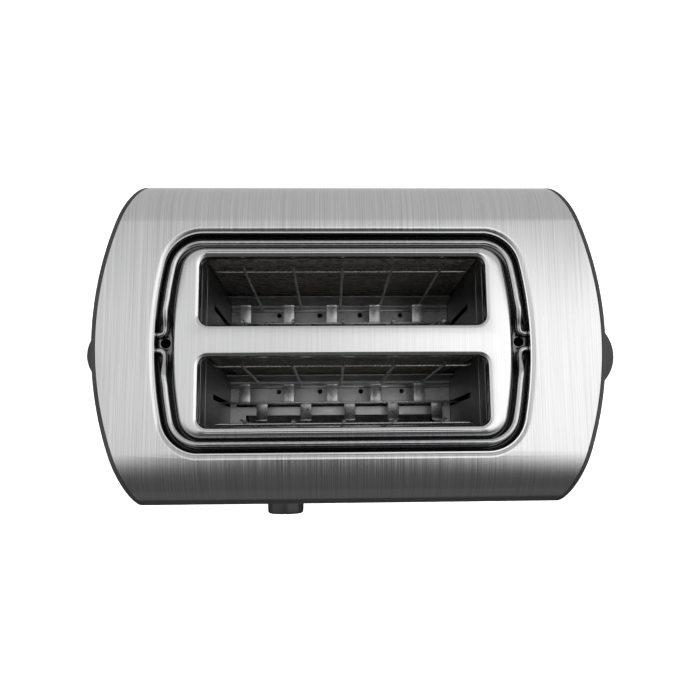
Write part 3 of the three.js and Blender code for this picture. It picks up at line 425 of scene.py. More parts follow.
def wire(points, radius, sides=3, round_corners=0.0):
    """A round wire along a line of points, its corners rounded where asked."""
    bpy.ops.curve.primitive_bezier_curve_add()
    curve = active()
    data = curve.data
    data.splines.clear()
    spline = data.splines.new("POLY")
    line = rounded_line(points, round_corners) if round_corners else points
    spline.points.add(len(line) - 1)
    for spot, place in zip(spline.points, line):
        spot.co = (*place, 1)
    data.dimensions = "3D"
    data.bevel_depth = radius
    data.bevel_resolution = sides
    data.use_fill_caps = True
    curve.location = (0, 0, 0)
    pick(curve)
    bpy.ops.object.convert(target="MESH")
    edit()
    weld()
    done_editing()
    return active()


def rounded_line(points, radius, steps=6):
    """The same line with each inner corner turned into a short curve."""
    points = [Vector(point) for point in points]
    line = [points[0]]
    for before, corner, after in zip(points, points[1:], points[2:]):
        back = min(radius, (before - corner).length * 0.45)
        on = min(radius, (after - corner).length * 0.45)
        first = corner + (before - corner).normalized() * back
        last = corner + (after - corner).normalized() * on
        for step in range(steps + 1):
            share = step / steps
            line.append(first * (1 - share) ** 2 + corner * 2 * share * (1 - share) + last * share ** 2)
    return line + [points[-1]]


def bow_corner(length, depth, corner, bow):
    """The bow's middle along X, the round corner's middle, and the angle where the two arcs meet."""
    bow_x = length - bow
    corner_y = depth - corner
    corner_x = bow_x + math.sqrt((bow - corner) ** 2 - corner_y ** 2)
    return bow_x, corner_x, corner_y, math.atan2(corner_y, corner_x - bow_x)


def bowed_outline(middle, length, depth, corner, bow=bow_radius, corner_steps=14, side_steps=16):
    """Plan outline with straight front and rear edges, round corners and ends that bow outwards."""
    bow_x, corner_x, corner_y, bow_angle = bow_corner(length, depth, corner, bow)
    quarter = math.pi / 2
    arcs = (
        (bow_x, 0, bow, -bow_angle, bow_angle, side_steps),
        (corner_x, corner_y, corner, bow_angle, quarter, corner_steps),
        (-corner_x, corner_y, corner, quarter, math.pi - bow_angle, corner_steps),
        (-bow_x, 0, bow, math.pi - bow_angle, math.pi + bow_angle, side_steps),
        (-corner_x, -corner_y, corner, math.pi + bow_angle, 3 * quarter, corner_steps),
        (corner_x, -corner_y, corner, 3 * quarter, 4 * quarter - bow_angle, corner_steps),
    )
    line = []
    for x, y, radius, start, end, steps in arcs:
        for step in range(steps):
            angle = start + (end - start) * step / steps
            line.append((middle[0] + x + radius * math.cos(angle), middle[1] + y + radius * math.sin(angle)))
    return line


def round_cornered(middle, length, depth, corner, steps=8):
    """Plan outline of a rectangle with round corners."""
    line = []
    for quarter, (sx, sy) in enumerate(((1, 1), (-1, 1), (-1, -1), (1, -1))):
        for step in range(steps + 1):
            angle = (quarter + step / steps) * math.pi / 2
            line.append((middle[0] + sx * (length - corner) + corner * math.cos(angle),
                         middle[1] + sy * (depth - corner) + corner * math.sin(angle)))
    return line


def ring_start(outline, height):
    """A face-less ring in edit mode, from a circle whose vertices are set on the outline."""
    bpy.ops.mesh.primitive_circle_add(vertices=len(outline), radius=1, fill_type="NOTHING")
    edit()
    bpy.ops.mesh.select_all(action="SELECT")
    place_ring(outline, height)


def place_ring(outline, height):
    """Puts the selected ring's vertices on an outline, in their order."""
    mesh = bmesh.from_edit_mesh(active().data)
    chosen = [v for v in mesh.verts if v.select]
    chosen.sort(key=lambda v: v.index)
    for vertex, (x, y) in zip(chosen, outline):
        vertex.co = (x, y, height)
    bmesh.update_edit_mesh(active().data)


def drawn(rings, closed=False):
    """A skin drawn through a row of (outline, height) rings by extrusion, or a solid if closed."""
    ring_start(*rings[0])
    if closed:
        bpy.ops.mesh.edge_face_add()
        bpy.ops.mesh.select_all(action="SELECT")
    for outline, height in rings[1:]:
        if closed:
            bpy.ops.mesh.extrude_region_move()
        else:
            bpy.ops.mesh.extrude_edges_move()
        place_ring(outline, height)
    bpy.ops.mesh.select_all(action="SELECT")
    bpy.ops.mesh.normals_make_consistent(inside=False)
    done_editing()
    return active()


def slab(outline, low, high):
    """A solid with a plan outline between two heights."""
    return drawn([(outline, low), (outline, high)], closed=True)


def quarter_angles(steps=6):
    return [step * math.pi / (2 * steps) for step in range(steps + 1)]


def quarter_turn(radius):
    """(inwards, down) places round a quarter circle, from level to upright."""
    return [(radius * (1 - math.sin(angle)), radius * (1 - math.cos(angle))) for angle in quarter_angles()]


# ------------------------------------------------------------------ casing
def body_outline(grow, corner=1.5 * MM, steps=44):
    return bowed_outline((body_x, body_y), half_length + grow, half_depth + max(grow, 0) * 2, corner,
                         body_bow + grow, 4, steps)


def arched_block(inset, bottom):
    """The body's block: upright walls and round shoulders, square at the ends."""
    reach = half_length + 8 * MM
    depth = half_depth - inset
    piece = block((body_x - reach, body_x + reach), (body_y - depth, body_y + depth), (bottom, top - inset))
    edit()
    select_where(lambda middle, edge: middle.z > top - inset - 1e-5 and abs(middle.x - body_x) < MM, "edges")
    bpy.ops.mesh.bevel(offset=shoulder - inset, segments=20, profile=0.5, affect="EDGES")
    done_editing()
    return piece


def moat_outline(grow):
    return bowed_outline((slots_x, slots_y), moat_length + grow, moat_depth + grow, moat_corner + grow)


def make_wrap():
    """One bent sheet with a rolled edge round its opening."""
    wrap = trimmed(arched_block(0, wrap_low.z), slab(body_outline(0), 0, top + clear_of_all), "INTERSECT")
    roll = 2.2 * MM
    opening = moat_outline(roll + 0.6 * MM)
    trimmed(wrap, slab(opening, top - 2 * clear_of_all, top + clear_of_all))
    edit()
    select_where(lambda middle, face: abs(face.normal.x) > 0.5 or face.normal.z < -0.5, "faces")
    bpy.ops.mesh.delete(type="FACE")
    reach_x, reach_y = moat_length + 4 * MM, moat_depth + 4 * MM
    select_where(lambda middle, face: middle.z < top - 1.2 * MM and face.normal.z > -0.5
                 and abs(middle.x - slots_x) < reach_x and abs(middle.y - slots_y) < reach_y
                 and abs(middle.y - body_y) < half_depth - shoulder, "faces")
    bpy.ops.mesh.delete(type="FACE")
    done_editing()
    rings = [(opening, top)] + [(moat_outline(grow), top - drop) for grow, drop in quarter_turn(roll)]
    rings.append((moat_outline(0), top - 3.2 * MM))
    wrap = joined([wrap, drawn(rings)])
    edit()
    weld(2e-5)
    done_editing()
    thickened(wrap)
    for node, extra in (("knob_shaft", 1.0), ("cancel_button", -1.3), ("defrost_button", -1.3),
                        ("reheat_button", -1.3)):
        low, high, middle = span(node)
        radius = (high.z - low.z) / 2 + extra * MM
        front = wrap_low.y
        trimmed(wrap, bar(radius, (middle.x, front - MM, middle.z), (middle.x, front + 3 * MM, middle.z)))
    middle = span("cord_gland")[2]
    rear = wrap_high.y
    trimmed(wrap, bar(5.8 * MM, (middle.x, rear - 3 * MM, middle.z), (middle.x, rear + MM, middle.z)))
    settle(wrap, "steel_wrap", wrap_finish, stands_for=["outer_wrap"], angle=25)


def top_faces_up(piece):
    """True if the top of a skin looks up, weighed by area."""
    crest = max(vertex.co.z for vertex in piece.data.vertices) - 0.1 * MM
    return sum(face.normal.z * face.area for face in piece.data.polygons if face.center.z > crest) > 0


def island_outline(grow):
    return bowed_outline((slots_x, slots_y), island_length + grow, island_depth + grow, island_corner + grow)


def slot_outline(side, grow):
    middle = (slots_x, slots_y + side * slot_offset)
    return round_cornered(middle, slot_length + grow, slot_half + grow, slot_corner + grow)


def make_deck():
    """The pressed deck in one skin: channel wall, channel floor, island and two rolled slot lips."""
    clear = 0.35 * MM
    floor = deck_low.z + sheet
    fillet = 2.5 * MM
    crown = 3.6 * MM
    lip_roll = 2.0 * MM
    rings = [(moat_outline(-clear), top - 1.1 * MM)]
    for a in quarter_angles():
        rings.append((moat_outline(-clear - fillet * (1 - math.cos(a))), floor + fillet * (1 - math.sin(a))))
    for a in quarter_angles():
        rings.append((island_outline(fillet * (1 - math.sin(a))), floor + fillet * (1 - math.cos(a))))
    for a in quarter_angles():
        rings.append((island_outline(-crown * (1 - math.cos(a))), top - crown * (1 - math.sin(a))))
    skins = [drawn(rings)]
    for side in (-1, 1):
        rings = [(slot_outline(side, grow), top - drop) for grow, drop in quarter_turn(lip_roll)]
        rings.append((slot_outline(side, 0), top - 5.6 * MM))
        skins.append(drawn(rings))
    deck = joined(skins)
    edit()
    select_where(lambda middle, edge: edge.is_boundary and middle.z > top - 0.05 * MM, "edges")
    bpy.ops.mesh.fill(use_beauty=True)
    weld()
    done_editing()
    thickened(deck)
    for side in (-1, 1):
        wall = slots_x + side * moat_length
        inner, outer = wall - side * 6 * MM, wall + side * 3 * MM
        for y in (slots_y - 4 * MM, slots_y + 4 * MM):
            trimmed(deck, bar(2.3 * MM, (inner, y, top - 7 * MM), (outer, y, top - 7 * MM)))
        drain = wall - side * 4.4 * MM
        trimmed(deck, bar(2.6 * MM, (drain, slots_y, floor - 2 * MM), (drain, slots_y, floor + 0.8 * MM)))
    settle(deck, "pressed_deck", deck_finish, stands_for=["top_deck"], angle=40)


def make_end_cap(name, side, slit_y, slit_low, slit_high):
    """A bowed plate that stands just past the steel, with a rim inside it and a slit for its lever."""
    gap = 0.3 * MM
    over = top + clear_of_all
    above = top + 2 * clear_of_all
    plate = trimmed(arched_block(0, wrap_low.z), slab(body_outline(cap_proud), 0, over), "INTERSECT")
    trimmed(plate, slab(body_outline(gap), -clear_of_all, above))
    rim = trimmed(arched_block(1.1 * MM, pan_top + gap), slab(body_outline(cap_proud / 2), 0, over), "INTERSECT")
    trimmed(rim, arched_block(3.1 * MM, pan_top + gap + 2 * MM))
    trimmed(rim, slab(body_outline(-8 * MM), -clear_of_all, above))
    trimmed(plate, rim, "UNION")
    far = side * (half_length + cap_proud + 10 * MM)
    other_half = sorted((body_x - far, body_x))
    trimmed(plate, block(other_half, (body_y - 0.2, body_y + 0.2), (-clear_of_all, above)))
    radius = 2.7 * MM
    middle = (slit_y, (slit_low + slit_high) / 2)
    slit = round_cornered(middle, radius + 0.3 * MM, (slit_high - slit_low) / 2, radius)
    trimmed(plate, slit_cutter(slit, body_x + side * (half_length - 6 * MM), body_x + far))
    bevelled(plate, 0.45 * MM, 2, 40)
    settle(plate, name + "_moulding", black_finish, stands_for=[name], angle=35)


def slit_cutter(outline, start, end):
    """A cutter with its outline in (y, z), run along X."""
    cutter = slab(outline, min(start, end), max(start, end))
    cutter.matrix_world = Matrix(((0, 0, 1, 0), (1, 0, 0, 0), (0, 1, 0, 0), (0, 0, 0, 1)))
    return freeze(cutter)


make_wrap()
make_deck()
lever = span("bread_lever_knob")[2]
rack_knob = span("rack_lever_knob")[2]
joint_range = {joint["name"]: joint.get("range_m") for joint in frame["joints"]}
carriage_travel = joint_range["carriage_slide"][1]
rack_travel = joint_range["rack_lift"][1]
slit_room = 9.5 * MM
make_end_cap("right_end_cap", 1, lever.y, lever.z - carriage_travel - slit_room, lever.z + slit_room)
make_end_cap("left_end_cap", -1, rack_knob.y, rack_knob.z - slit_room, rack_knob.z + rack_travel + slit_room)


# ------------------------------------------------------------------ warming rack
def at(x, y, below):
    """A place measured in millimetres from the middle of the slots and down from the top."""
    return Vector((slots_x + x * MM, slots_y + y * MM, top - below * MM))


def make_bail(name, side, body):
    """Half of the rack: a rod round half the channel, its ends turned out through the deck's wall."""
    corner, level = 15, 3.6
    bow_x, corner_x, corner_y, bow_angle = bow_corner(90.2, 51.2, corner, deck_bow)
    half = [(98.8, 4, 7), (92.2, 4, 7), (90.5, 5.3, 7), (90.2, 8.6, 6.4), (90.0, 12.5, 4.6),
            (89.9, 16.5, level)]
    for step in range(8):
        angle = bow_angle * (0.55 + 0.45 * step / 8)
        half.append((bow_x + deck_bow * math.cos(angle), deck_bow * math.sin(angle), level))
    for step in range(13):
        angle = bow_angle + (math.pi / 2 - bow_angle) * step / 12
        half.append((corner_x + corner * math.cos(angle), corner_y + corner * math.sin(angle), level))
    line = half + [(-x, y, below) for x, y, below in reversed(half)]
    rod = wire([at(x, side * y, below) for x, y, below in line], 1.6 * MM, 5, round_corners=1.4 * MM)
    settle(rod, name + "_rod", chrome_finish, body, [name], 60)


# ------------------------------------------------------------------ inside the slots
def run_along_y(outline, start, end):
    """A solid with its outline in (x, z), run along Y."""
    piece = slab(outline, -end, -start)
    piece.matrix_world = Matrix(((1, 0, 0, 0), (0, 0, -1, 0), (0, 1, 0, 0), (0, 0, 0, 1)))
    return freeze(piece)


def local_block(x, y, below, rounding=0.0):
    """A box between limits in millimetres, measured as at() does."""
    low, high = at(x[0], y[0], below[1]), at(x[1], y[1], below[0])
    return block((low.x, high.x), (low.y, high.y), (low.z, high.z), rounding * MM)


def make_guard(name, middle, direction):
    """Upright wires with bent heads, tied by a rail on their outer side."""
    y = middle + direction * guard_offset
    wires = []
    for n in range(5):
        x = (n - 2) * 25.8
        line = [(x, y, floor_below - 1.9), (x, y, 8.4), (x, y + direction * 0.9, 6.4)]
        wires.append(wire([at(*place) for place in line], 0.8 * MM, 3, round_corners=0.9 * MM))
    rail_y, turned_out = y + direction * 1.2, y + direction * 2.4
    half = 66.6
    rail = [(-half - 1.4, turned_out, 23.2), (-half, rail_y, 22.5),
            (half, rail_y, 22.5), (half + 1.4, turned_out, 23.2)]
    wires.append(wire([at(*place) for place in rail], 0.7 * MM, 3, round_corners=1 * MM))
    settle(joined(wires), name + "_wires", wire_finish, stands_for=[name], angle=60)


def profile_at(places):
    """Where (y, below) places in millimetres lie, as the (y, z) outline that slit_cutter takes."""
    return [(point.y, point.z) for point in (at(0, y, below) for y, below in places)]


def finger_outline(y, side):
    """A finger's side view: out from the rib, rising in a curve to its tip."""
    steps = 8
    upper = [(y + side * 11.5 * step / steps, 2.2 * (step / steps) ** 2) for step in range(steps + 1)]
    lower = [(place, rise - 1.2) for place, rise in reversed(upper)]
    return profile_at([(place, rib_below - rise) for place, rise in upper + lower])


def make_rib(name, middle):
    """A pressed rib with fingers bent out to both sides."""
    y = middle + rib_slit / 2
    pieces = [
        local_block((-80.6, 83.7), (y - 0.6, y + 0.6), (rib_below, rib_below + 5), 0.25),
        local_block((-66, 66), (y - 0.55, y + 0.55), (rib_below + 0.2, rib_below + 12), 0.25),
    ]
    for n in range(5):
        for side in (-1, 1):
            x = slots_x + ((n - 2) * 27.7 - side * 5.5) * MM
            finger = slit_cutter(finger_outline(y, side), x - 3.5 * MM, x + 3.5 * MM)
            pieces.append(bevelled(finger, 0.35 * MM, 2, 50))
    settle(joined(pieces), name + "_pressing", finger_finish, "carriage", [name])


def make_end_plate(name, side):
    """The sheet that closes one end of both slots, slit for the ribs and tabbed for the boards."""
    low, high, _ = span(name)
    width = (-55, 55)
    deep = (top - low.z) / MM
    sheet_x = sorted((side * plate_inner, side * (plate_inner + 0.8)))
    through = sorted((side * (plate_inner - 1), side * (plate_inner + 2)))
    plate = local_block(sheet_x, width, ((top - high.z) / MM, deep), 0.2)
    cuts = [local_block(through, (y, y + rib_slit), (50, 144.5)) for y in slot_middles]
    cuts += [local_block(through, (y - 1.4, y + 1.4), (107, 117)) for _, y, _ in heaters]
    crease = side * (plate_inner - 0.2)
    cuts.append(bar(0.5 * MM, at(crease, -54, 25), at(crease, 54, 25), 8))
    trimmed(plate, joined(cuts))
    flange_x = sorted((side * plate_inner, side * (plate_inner + 9)))
    flange = local_block(flange_x, width, (deep - 0.8, deep), 0.2)
    settle(joined([plate, flange]), name + "_sheet", plate_finish, stands_for=[name])


def make_heater(name, y, direction):
    """A mica board with a flat ribbon wound to and fro across the side that the bread is on."""
    board_top, eyelet_x, ribbon_end = 15, 64, 66
    board = local_block((-72, 72), (y - 0.4, y + 0.4), (board_top, floor_below - 0.3), 0.12)
    eyelet = board_top + 6
    eyelets = [bar(1.2 * MM, at(x, y - 2, eyelet), at(x, y + 2, eyelet), 16) for x in (-eyelet_x, eyelet_x)]
    trimmed(board, joined(eyelets))
    settle(board, name + "_board_sheet", mica_finish, stands_for=[name + "_mica_board"])
    rows, high, low = 17, board_top + 12, floor_below - 12
    pitch = (low - high) / (rows - 1)
    near = y + direction * 0.75
    line = []
    for row in range(rows):
        start = -ribbon_end if row % 2 == 0 else ribbon_end
        line += [at(start, near, high + row * pitch), at(-start, near, high + row * pitch)]
    ribbon = wire(line, 0.5 * MM, 1)
    edit()
    bpy.ops.mesh.select_all(action="SELECT")
    bpy.ops.transform.resize(value=(1, 0.4, 1), center_override=at(0, near, 0), orient_type="GLOBAL")
    done_editing()
    settle(ribbon, name + "_ribbon_winding", ribbon_finish,
           stands_for=[name + "_heating_ribbon"])


def make_chassis_floor():
    """The sheet under the carriage: rib slits, crumb slots, holes, chutes and the guards' foot strips."""
    width = (-floor_reach, floor_reach)
    plate = local_block(width, (-54.4, 54.4), (floor_below, floor_below + 0.8))
    through = (floor_below - 1, floor_below + 2)
    cuts = []
    extras = []
    for y in slot_middles:
        cuts.append(local_block((-68, 68), (y, y + rib_slit), through))
        cuts.append(local_block((-62, 62), (y - 11.8, y - 5.4), through))
        for x in (-40.5, -13.5, 13.5, 40.5):
            cuts.append(bar(1.6 * MM, at(x, y + 10, through[1]), at(x, y + 10, through[0]), 20))
        for side in (-1, 1):
            strip = sorted((y + side * 12.1, y + side * 15.1))
            extras.append(local_block(width, strip, (floor_below - 1.5, floor_below + 0.4), 0.5))
            chute = [(16.6, 0.4), (17.4, 0.4), (19.4, -18), (18.6, -18)]
            outline = profile_at([(y + side * place, floor_below + below) for place, below in chute])
            extras.append(slit_cutter(outline, slots_x - floor_reach * MM, slots_x + floor_reach * MM))
    trimmed(plate, joined(cuts))
    settle(joined([plate] + extras), "chassis_floor_pressing", floor_finish,
           stands_for=["chassis_floor"])


# ------------------------------------------------------------------ levers and controls
def make_lever_knob(name, side, body):
    """A thumb knob with a lens-shaped plan, grooved for grip, on a neck through the end cap's slit."""
    low, high, middle = span(name)
    tip = high.x if side > 0 else low.x
    inner = low.x if side > 0 else high.x
    face = body_x + side * (half_length + cap_proud + 0.3 * MM)
    thick = abs(tip - face)
    half = (high.y - low.y) / 2
    radius = (half ** 2 + thick ** 2) / (2 * thick)
    spread_angle = math.asin(half / radius)
    outline = []
    for step in range(33):
        angle = spread_angle * (2 * step / 32 - 1)
        outline.append((tip - side * (radius - radius * math.cos(angle)),
                        middle.y + side * radius * math.sin(angle)))
    knob = slab(outline, low.z, high.z)
    groove_radius = radius + 0.2 * MM
    grooves = []
    for n in (-1, 0, 1):
        z = middle.z + n * (high.z - low.z) * 0.2
        line = []
        for share in (-0.7, -0.45, -0.2, 0.0, 0.2, 0.45, 0.7):
            angle = spread_angle * share
            line.append((tip - side * (radius - groove_radius * math.cos(angle)),
                         middle.y + groove_radius * math.sin(angle), z))
        grooves.append(wire(line, 0.6 * MM, 2))
    bevelled(knob, 1.5 * MM, 4, 40)
    trimmed(knob, joined(grooves))
    neck = block(sorted((inner, face + side * 1.5 * MM)), (middle.y - 2.4 * MM, middle.y + 2.4 * MM),
                 (middle.z - 7 * MM, middle.z + 7 * MM), 0.5 * MM)
    settle(joined([knob, neck]), name + "_moulding", black_finish, body, [name], 40)


def make_browning_knob():
    """A fluted knob with a rolled front edge and a pointer line, over a steel ring."""
    low, high, middle = span("browning_knob")
    radius = (high.z - low.z) / 2 / MM
    depth = (high.y - low.y) / MM
    profile = [(0, 0), (radius, 0), (radius, 0.9), (radius - 0.5, 1.5), (radius - 0.7, depth - 1.6),
               (radius - 1.0, depth - 0.8), (radius - 1.6, depth - 0.25), (radius - 2.6, depth),
               (radius - 4.5, depth - 0.3), (0, depth - 0.3)]
    knob = turned(profile, (middle.x, high.y, middle.z), forwards, 72)
    flutes = []
    for n in range(36):
        angle = n * math.pi / 18
        x, z = middle.x + radius * MM * math.cos(angle), middle.z + radius * MM * math.sin(angle)
        flutes.append(bar(0.5 * MM, (x, high.y - 2 * MM, z), (x, low.y - 1 * MM, z), 8))
    trimmed(knob, joined(flutes))
    line_z = (middle.z + 3 * MM, middle.z + 9.5 * MM)
    line_x = (middle.x - 0.8 * MM, middle.x + 0.8 * MM)
    trimmed(knob, block(line_x, (low.y - MM, low.y + 0.9 * MM), line_z))
    settle(knob, "browning_knob_turning", knob_finish, "browning_control", ["browning_knob"])
    inset = 0.05 * MM
    mark = block((line_x[0] + inset, line_x[1] - inset), (low.y + 0.35 * MM, low.y + 1.0 * MM), line_z, 0.1 * MM)
    settle(mark, "browning_pointer", mark_finish, "browning_control")
    low, high, middle = span("knob_ring")
    bore, outer = 4.1, (high.z - low.z) / 2 / MM
    profile = [(bore, 0), (outer, 0), (outer, 0.9), (outer - 0.6, 1.5), (outer - 1.0, 1.6), (bore, 1.6),
               (bore, 0)]
    ring = turned(profile, (middle.x, high.y, middle.z), forwards, 72)
    settle(ring, "knob_ring_turning", chrome_finish, stands_for=["knob_ring"])


def make_button(name, body):
    """A shallow dished cap with a flange behind the wrap and a stem to the board."""
    low, high, middle = span(name)
    deep = (high.y - low.y) / MM
    inner = (wrap_low.y - low.y) / MM
    profile = [(0, 0.35), (2.4, 0.22), (3.6, 0.0), (4.1, 0.12), (4.4, 0.6), (4.4, inner + 4),
               (6.5, inner + 4), (6.5, inner + 6), (2, inner + 6), (2, deep), (0, deep)]
    button = turned(profile, (middle.x, low.y, middle.z), rearwards)
    settle(button, name + "_cap", knob_finish, body, [name])


def make_bezel():
    low, high, middle = span("button_bezel")
    half = (high.z - low.z) / 2
    outline = round_cornered((middle.x, middle.z), (high.x - low.x) / 2, half, half - 0.3 * MM, 16)
    plate = run_along_y(outline, low.y, high.y)
    bevelled(plate, 0.5 * MM, 3, 50)
    for node in ("cancel_button", "defrost_button", "reheat_button"):
        place = span(node)[2]
        trimmed(plate, bar(5 * MM, (place.x, low.y - MM, place.z), (place.x, high.y + MM, place.z), 48))
    bevelled(plate, 0.25 * MM, 2, 60)
    settle(plate, "button_bezel_plate", black_finish, stands_for=["button_bezel"])


# ------------------------------------------------------------------ base, feet, tray and gland
def pan_outline(inset):
    return bowed_outline((body_x, body_y), half_length - inset, half_depth - inset, 4 * MM,
                         body_bow - inset, 8, 30)


def make_base():
    low, high, _ = span("base_pan")
    tray_low, tray_high, _ = span("crumb_tray")
    pan = bevelled(slab(pan_outline(1.6 * MM), low.z, high.z), 0.9 * MM, 3, 40)
    trimmed(pan, slab(pan_outline(4 * MM), low.z + 2.5 * MM, high.z + MM))
    room = 0.6 * MM
    trimmed(pan, block((tray_low.x - room, tray_high.x + room), (wrap_high.y - 6 * MM, wrap_high.y + MM),
                       (low.z + 2.5 * MM, tray_high.z + room)))
    grooves = []
    for n in range(-4, 5):
        y = body_y + n * 10 * MM
        grooves.append(block((body_x - 70 * MM, body_x + 70 * MM), (y - 1.2 * MM, y + 1.2 * MM),
                             (low.z - MM, low.z + 0.8 * MM)))
    trimmed(pan, joined(grooves))
    settle(pan, "base_pan_moulding", black_finish, stands_for=["base_pan"])
    profile = [(0, 1.5), (3.5, 1.5), (3.75, 0.4), (4.3, 0), (6.5, 0), (7.2, 0.4), (7.5, 1.3), (7.5, 4.2),
               (7.1, 5), (0, 5)]
    for end in ("left", "right"):
        for side in ("front", "rear"):
            name = "foot_" + side + "_" + end
            low, _, middle = span(name)
            foot = turned(profile, (middle.x, middle.y, low.z), (0, 0, 1))
            settle(foot, name + "_pad", rubber_finish, stands_for=[name])


def make_tray():
    low, high, middle = span("crumb_tray")
    rear = high.y - 1.9 * MM
    gauge = 0.6 * MM
    tray = block((low.x, high.x), (low.y, rear), (low.z, high.z), 0.5 * MM)
    trimmed(tray, block((low.x + gauge, high.x - gauge), (low.y + gauge, rear - gauge),
                        (low.z + gauge, high.z + MM), 0.2 * MM))
    pull = block((middle.x - 30 * MM, middle.x + 30 * MM), (rear - MM, high.y),
                 (low.z + gauge, high.z - gauge), gauge)
    grip = low.z + 0.7 * MM
    trimmed(pull, bar(1.0 * MM, (middle.x - 24 * MM, high.y, grip), (middle.x + 24 * MM, high.y, grip), 16))
    settle(joined([tray, pull]), "crumb_tray_pressing", zinc_finish, "tray",
           ["crumb_tray"])


def make_gland():
    low, high, middle = span("cord_gland")
    deep = (high.y - low.y) / MM
    profile = [(3.5, 0), (7.2, 0), (7.5, 0.4), (7.5, 5.9), (5.5, 5.9), (5.5, 7.3), (8.0, 7.3), (8.0, 9.2),
               (7.4, deep - 0.2), (6.6, deep), (4.0, deep), (3.5, deep - 0.5), (3.5, 0)]
    gland = turned(profile, (middle.x, low.y, middle.z), rearwards)
    settle(gland, "cord_gland_moulding", rubber_finish, stands_for=["cord_gland"])


def dress(names, material, angle=35):
    """A finish for CAD nodes that are shown as they are."""
    for name in names:
        node = nodes[name]
        node.data.materials.clear()
        node.data.materials.append(material)
        smooth(node, angle)


make_bail("front_rack_bail", -1, "front_rack")
make_bail("rear_rack_bail", 1, "rear_rack")
for slot_name, place in zip(("front", "rear"), slot_middles):
    make_guard(slot_name + "_slot_front_guard", place, -1)
    make_guard(slot_name + "_slot_rear_guard", place, 1)
    make_rib(slot_name + "_rib", place)
make_end_plate("left_end_plate", -1)
make_end_plate("right_end_plate", 1)
for heater, place, facing in heaters:
    make_heater(heater, place, facing)
make_chassis_floor()
make_lever_knob("bread_lever_knob", 1, "carriage")
make_lever_knob("rack_lever_knob", -1, "rack_lever")
make_browning_knob()
for button_name in ("cancel", "defrost", "reheat"):
    make_button(button_name + "_button", button_name)
make_bezel()
make_base()
make_tray()
make_gland()
screws = ["base_screw_" + side + "_" + end for side in ("front", "rear") for end in ("left", "right")]
dress(screws + ["front_heat_shield", "rear_heat_shield", "carriage_bridge", "knob_shaft",
                "browning_potentiometer", "front_rack_crank", "rear_rack_crank", "rack_slide_plate"],
      zinc_finish)
dress(["carriage_spring", "magnet_keeper"], spring_finish)
dress(["guide_rod"], chrome_finish)
dress(["latch_magnet"], coil_finish)
dress(["control_board", "power_board"], board_finish)


# ------------------------------------------------------------------ stage
def make_camera():
    data = bpy.data.cameras.new("camera")
    camera = bpy.data.objects.new("camera", data)
    bpy.context.scene.collection.objects.link(camera)
    data.sensor_width = 36
    data.lens = 37.02
    data.clip_start = 0.01
    camera.location = (slots_x - 7.36 * MM, slots_y - 56.52 * MM, top + 355.94 * MM)
    camera.rotation_mode = "YXZ"
    camera.rotation_euler = (math.radians(8.23), math.radians(-1.62), math.radians(-0.32))
    bpy.context.scene.camera = camera


def make_floor():
    bpy.ops.mesh.primitive_plane_add(size=6, location=(0, 0, -0.0002))
    floor = active()
    floor.name = "studio_floor"
    material, tree, shader, place = finish("studio_paper", (0.93, 0.93, 0.93), 0.9)
    tint(tree, shader, noise(tree, place, (3, 3, 3)), (0.92, 0.92, 0.92), (0.95, 0.95, 0.95))
    shader.inputs["Emission Color"].default_value = (1, 1, 1, 1)
    shader.inputs["Emission Strength"].default_value = 0.62
    floor.data.materials.append(material)
    floor.visible_glossy = False


def soft_light(name, place, target, size, watts):
    data = bpy.data.lights.new(name, "AREA")
    data.shape = "RECTANGLE"
    data.size, data.size_y = size
    data.energy = watts
    light = bpy.data.objects.new(name, data)
    bpy.context.scene.collection.objects.link(light)
    light.location = place
    light.rotation_mode = "QUATERNION"
    light.rotation_quaternion = (Vector(target) - Vector(place)).to_track_quat("-Z", "Y")
    light.visible_glossy = False


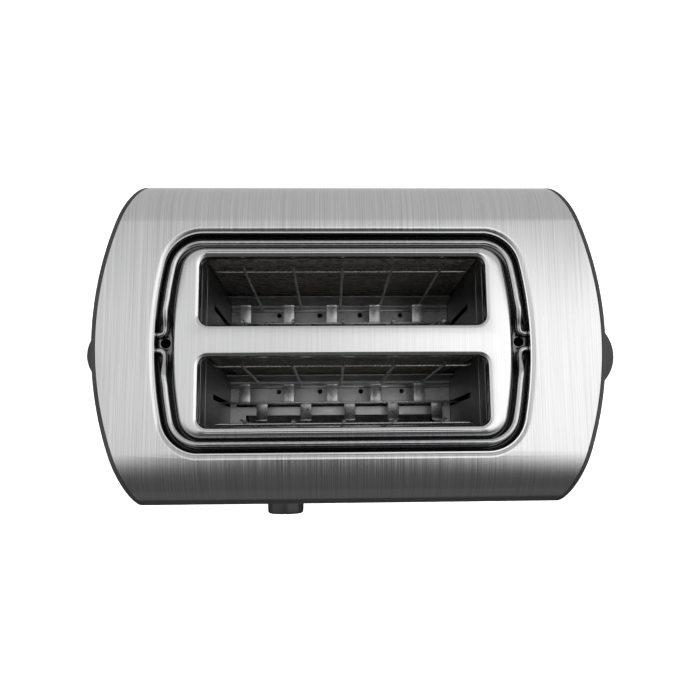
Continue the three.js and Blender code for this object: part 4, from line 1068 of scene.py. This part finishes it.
def studio_sky():
    """Pale surroundings: brightest overhead and to the right, greyer behind, and dim in front."""
    world = bpy.data.worlds.new("studio")
    bpy.context.scene.world = world
    world.use_nodes = True
    tree = world.node_tree
    links = tree.links
    direction = tree.nodes.new("ShaderNodeTexCoord").outputs["Generated"]
    split = tree.nodes.new("ShaderNodeSeparateXYZ")
    links.new(direction, split.inputs[0])

    def step(value, low, high, bottom, upper):
        node = tree.nodes.new("ShaderNodeMapRange")
        node.interpolation_type = "SMOOTHSTEP"
        for socket, number in zip(("From Min", "From Max", "To Min", "To Max"), (low, high, bottom, upper)):
            if isinstance(number, float):
                node.inputs[socket].default_value = number
            else:
                links.new(number, node.inputs[socket])
        links.new(value, node.inputs["Value"])
        return node.outputs["Result"]

    def math_node(operation, first, second):
        node = tree.nodes.new("ShaderNodeMath")
        node.operation = operation
        for socket, value in zip(node.inputs, (first, second)):
            if isinstance(value, float):
                socket.default_value = value
            else:
                links.new(value, socket)
        return node.outputs[0]

    def blend(low, high, share):
        """low where share is 0, high where it is 1."""
        return math_node("ADD", low, math_node("MULTIPLY", share, math_node("SUBTRACT", high, low)))

    left, right, rear, dim, ground, far_ground = 0.92, 1.50, 0.62, 0.095, 0.04, 0.11
    x, y, z = split.outputs
    overhead = blend(step(x, -0.10, 0.25, left, right), rear, step(y, 0.18, 0.38, 0.0, 1.0))
    sideways = step(math_node("ABSOLUTE", x, 0.0), 0.12, 0.32, 0.0, 1.0)
    edge = math_node("ADD", math_node("MULTIPLY", sideways, -0.85), -0.07)
    start = math_node("ADD", math_node("MULTIPLY", sideways, 0.09), -0.02)
    upper = blend(dim, overhead, step(y, edge, start, 0.0, 1.0))
    floor = blend(ground, far_ground, step(y, -0.85, -0.75, 1.0, 0.0))
    below = blend(floor, rear, step(y, -0.1, 0.1, 0.0, 1.0))
    total = blend(below, upper, step(z, -0.10, 0.05, 0.0, 1.0))
    links.new(total, tree.nodes["Background"].inputs["Strength"])
    tree.nodes["Background"].inputs["Color"].default_value = (1, 1, 1, 1)


make_camera()
make_floor()
studio_sky()
soft_light("high_fill", (0.0, 0.0, 1.6), (0, 0, 0), (1.6, 1.6), 26)
bpy.context.scene.view_settings.view_transform = "Standard"
